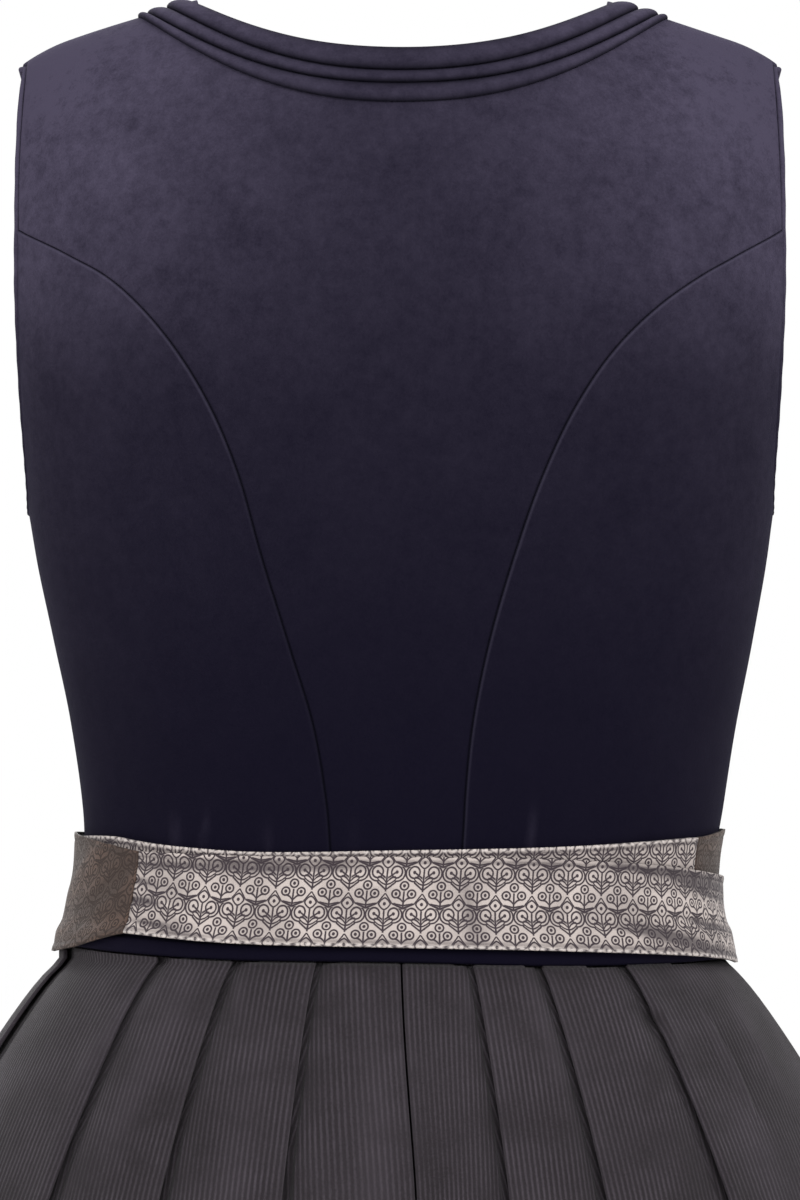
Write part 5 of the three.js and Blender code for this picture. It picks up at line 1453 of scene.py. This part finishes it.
def make_looks(settings):
    """The materials, made once, with the settings."""
    makers = {
        "velvet": lambda name: make_velvet(name, settings),
        "skirt_cloth": lambda name: make_skirt_cloth(name, settings),
        "pale_jacquard": lambda name: make_jacquard(name, settings, settings.sash_colour, settings.sash_line_colour),
        "dark_jacquard": lambda name: make_jacquard(name, settings, settings.apron_colour, settings.apron_line_colour),
    }
    looks = {"settings": settings}
    for slot, maker in makers.items():
        name = f"woven_{slot}"
        looks[slot] = bpy.data.materials.get(name) or maker(name)
    return looks


# Stage


CAMERA_DISTANCE = 12000
PHOTO_HEIGHT = 525
PHOTO_MIDDLE_Z = -249.375
SENSOR = 36
FLOOR_Z = -1160
FLOOR_SIZE = 8000
# The soft lamps: place, size and power in watts, and the point that they are aimed at
LAMPS = {
    "key": ((-1400, 2300, 1300), 1300, 40),
    "fill": ((1900, 1900, 500), 1600, 20),
    "front": ((600, -2600, 1100), 1700, 40),
}
LAMPS_AIM = (0, 0, -400)


def plain_material(name, colour, roughness):
    """A nearly even material for what isn't the garment."""
    look = Cloth(name)
    grain = noise(look.place, 0.01, 2.0)
    tint = mixed(colour, tuple(0.97 * part for part in colour[:3]) + (1.0,), grain)
    return look.finish(tint, roughness, grain, 0.2, {"Specular IOR Level": 0.1})


def make_stage(settings):
    """The floor, white surroundings, the lamps and the camera that looks as the photo does."""
    floor_mesh = bmesh.new()
    bmesh.ops.create_grid(floor_mesh, x_segments=8, y_segments=8, size=FLOOR_SIZE / 2 * MM)
    for vert in floor_mesh.verts:
        vert.co.z = FLOOR_Z * MM
    mesh = bpy.data.meshes.new("floor")
    floor_mesh.to_mesh(mesh)
    floor_mesh.free()
    mesh.materials.append(plain_material("floor", settings.floor_colour, 0.9))
    floor = bpy.data.objects.new("floor", mesh)
    bpy.context.scene.collection.objects.link(floor)

    scene = bpy.context.scene
    scene.view_settings.view_transform = "Standard"
    world = scene.world or bpy.data.worlds.new("studio")
    scene.world = world
    world.use_nodes = True
    background = world.node_tree.nodes["Background"]
    background.inputs["Color"].default_value = (1, 1, 1, 1)
    background.inputs["Strength"].default_value = 1.0

    for lamp, (location, size, power) in LAMPS.items():
        add_light(lamp, location, size, power)

    camera = bpy.data.cameras.new("camera")
    camera.sensor_fit = "AUTO"
    camera.sensor_width = SENSOR
    camera.lens = SENSOR * CAMERA_DISTANCE / PHOTO_HEIGHT
    camera.clip_end = 50
    placed = bpy.data.objects.new("camera", camera)
    placed.location = Vector((0, CAMERA_DISTANCE, PHOTO_MIDDLE_Z)) * MM
    placed.rotation_euler = (math.pi / 2, 0, math.pi)
    scene.collection.objects.link(placed)
    scene.camera = placed


def add_light(name, location, size, power):
    """A soft square lamp aimed at the middle of the garment."""
    light = bpy.data.lights.new(name, "AREA")
    light.shape = "SQUARE"
    light.size = size * MM
    light.energy = power
    placed = bpy.data.objects.new(name, light)
    placed.location = Vector(location) * MM
    aim = Vector(LAMPS_AIM) * MM - placed.location
    placed.rotation_euler = aim.to_track_quat("-Z", "Y").to_euler()
    bpy.context.scene.collection.objects.link(placed)


# Add-on


def colour_setting(name, description, colour):
    """A colour property from a display colour."""
    return bpy.props.FloatVectorProperty(
        name=name, description=description, default=linear(colour), size=4, min=0, max=1, subtype="COLOR"
    )


class DirndlSettings(bpy.types.PropertyGroup):
    """Sizes and colours of the dirndl's cloth."""

    velvet_colour: colour_setting("Velvet", "Deep colour of the bodice's velvet", (13, 11, 24))
    # The velvet's lit colour, mixed in as painted light
    velvet_lit_colour: colour_setting("Velvet nap", "Colour where the nap catches the light", (67, 62, 79))
    # Colour of the painted highlight beside the seams
    velvet_seam_highlight_colour: colour_setting("Velvet seams", "Colour of the rolled edges beside the seams", (78, 74, 92))
    skirt_colour: colour_setting("Skirt", "Ground colour of the skirt cloth", (27, 22, 26))
    rib_colour: colour_setting("Skirt ribs", "Colour of the skirt cloth's fine ribs", (64, 58, 65))
    sash_colour: colour_setting("Sash", "Ground colour of the pale jacquard", (184, 173, 168))
    sash_line_colour: colour_setting("Sash lines", "Colour of the pale jacquard's motifs", (50, 41, 47))
    apron_colour: colour_setting("Apron", "Ground colour of the dark jacquard", (93, 71, 60))
    apron_line_colour: colour_setting("Apron lines", "Colour of the dark jacquard's motifs", (46, 33, 28))
    trim_colour: colour_setting("Trim", "Colour of the stitched line along the sash's edges", (200, 191, 187))
    floor_colour: colour_setting("Floor", "Colour of the floor under the dress", (238, 237, 235))
    rib_spacing: bpy.props.FloatProperty(
        name="Rib spacing", description="Distance between two ribs of the skirt cloth", default=0.0024, min=0.001,
        max=0.02, unit="LENGTH"
    )
    motif_width: bpy.props.FloatProperty(
        name="Motif width", description="Width of the jacquard's repeat", default=0.0161, min=0.01, max=0.1,
        unit="LENGTH"
    )
    motif_height: bpy.props.FloatProperty(
        name="Motif height", description="Height of the jacquard's repeat", default=0.0185, min=0.01, max=0.1,
        unit="LENGTH"
    )
    crease_strength: bpy.props.FloatProperty(
        name="Creases", description="How deep the creases are, against those of the photo", default=1.0, min=0, max=1.3,
        subtype="FACTOR"
    )


class PieceOperator:
    """What the operators that make pieces have in common."""

    bl_options = {"REGISTER", "UNDO"}

    def make(self, looks):
        raise NotImplementedError

    def execute(self, context):
        for piece in self.make(make_looks(context.scene.dirndl)):
            if not piece.data.polygons:
                raise RuntimeError(f"{piece.name} has no faces")
        return {"FINISHED"}


class DIRNDL_OT_bodice(PieceOperator, bpy.types.Operator):
    """Make the seven velvet panels of the bodice"""

    bl_idname = "dirndl.bodice"
    bl_label = "Bodice"

    def make(self, looks):
        return make_bodice(looks)


class DIRNDL_OT_bindings(PieceOperator, bpy.types.Operator):
    """Make the folded neck bands, the armhole bindings and the waist binding"""

    bl_idname = "dirndl.bindings"
    bl_label = "Neck bands and bindings"

    def make(self, looks):
        return make_neck_bands(looks) + make_armhole_bindings(looks) + make_waist_binding(looks)


class DIRNDL_OT_skirt(PieceOperator, bpy.types.Operator):
    """Make the five pleated widths of the skirt"""

    bl_idname = "dirndl.skirt"
    bl_label = "Skirt"

    def make(self, looks):
        return make_skirt(looks)


class DIRNDL_OT_apron(PieceOperator, bpy.types.Operator):
    """Make the gathered apron"""

    bl_idname = "dirndl.apron"
    bl_label = "Apron"

    def make(self, looks):
        return make_apron(looks)


class DIRNDL_OT_sash(PieceOperator, bpy.types.Operator):
    """Make the apron's waistband and the two passes of the sash"""

    bl_idname = "dirndl.sash"
    bl_label = "Waistband and sash"

    def make(self, looks):
        return make_sash(looks)


class DIRNDL_OT_bow(PieceOperator, bpy.types.Operator):
    """Make the bow's knot, loops and tails"""

    bl_idname = "dirndl.bow"
    bl_label = "Bow"

    def make(self, looks):
        return make_bow(looks)


class DIRNDL_OT_stage(bpy.types.Operator):
    """Make the floor, the studio light and the camera at the photo's angle"""

    bl_idname = "dirndl.stage"
    bl_label = "Stage"
    bl_options = {"REGISTER", "UNDO"}

    def execute(self, context):
        make_stage(context.scene.dirndl)
        if context.scene.camera is None:
            raise RuntimeError("The stage has no camera")
        return {"FINISHED"}


OPERATORS = (
    DIRNDL_OT_bodice, DIRNDL_OT_bindings, DIRNDL_OT_skirt, DIRNDL_OT_apron, DIRNDL_OT_sash, DIRNDL_OT_bow,
    DIRNDL_OT_stage,
)


class DIRNDL_PT_panel(bpy.types.Panel):
    bl_label = "Dirndl"
    bl_idname = "DIRNDL_PT_panel"
    bl_space_type = "VIEW_3D"
    bl_region_type = "UI"
    bl_category = "Dirndl"

    def draw(self, context):
        for name in DirndlSettings.__annotations__:
            self.layout.prop(context.scene.dirndl, name)
        for operator in OPERATORS:
            self.layout.operator(operator.bl_idname)


CLASSES = (DirndlSettings, *OPERATORS, DIRNDL_PT_panel)


def register():
    """Adds the settings, the operators and the panel to Blender."""
    for made in CLASSES:
        bpy.utils.register_class(made)
    bpy.types.Scene.dirndl = bpy.props.PointerProperty(type=DirndlSettings)


def unregister():
    """Takes them out again."""
    del bpy.types.Scene.dirndl
    for made in reversed(CLASSES):
        bpy.utils.unregister_class(made)


def main():
    """Makes every piece and the stage."""
    register()
    for operator in OPERATORS:
        group, name = operator.bl_idname.split(".")
        if getattr(getattr(bpy.ops, group), name)() != {"FINISHED"}:
            raise RuntimeError(f"{operator.bl_label} wasn't made")


if __name__ == "__main__":
    main()
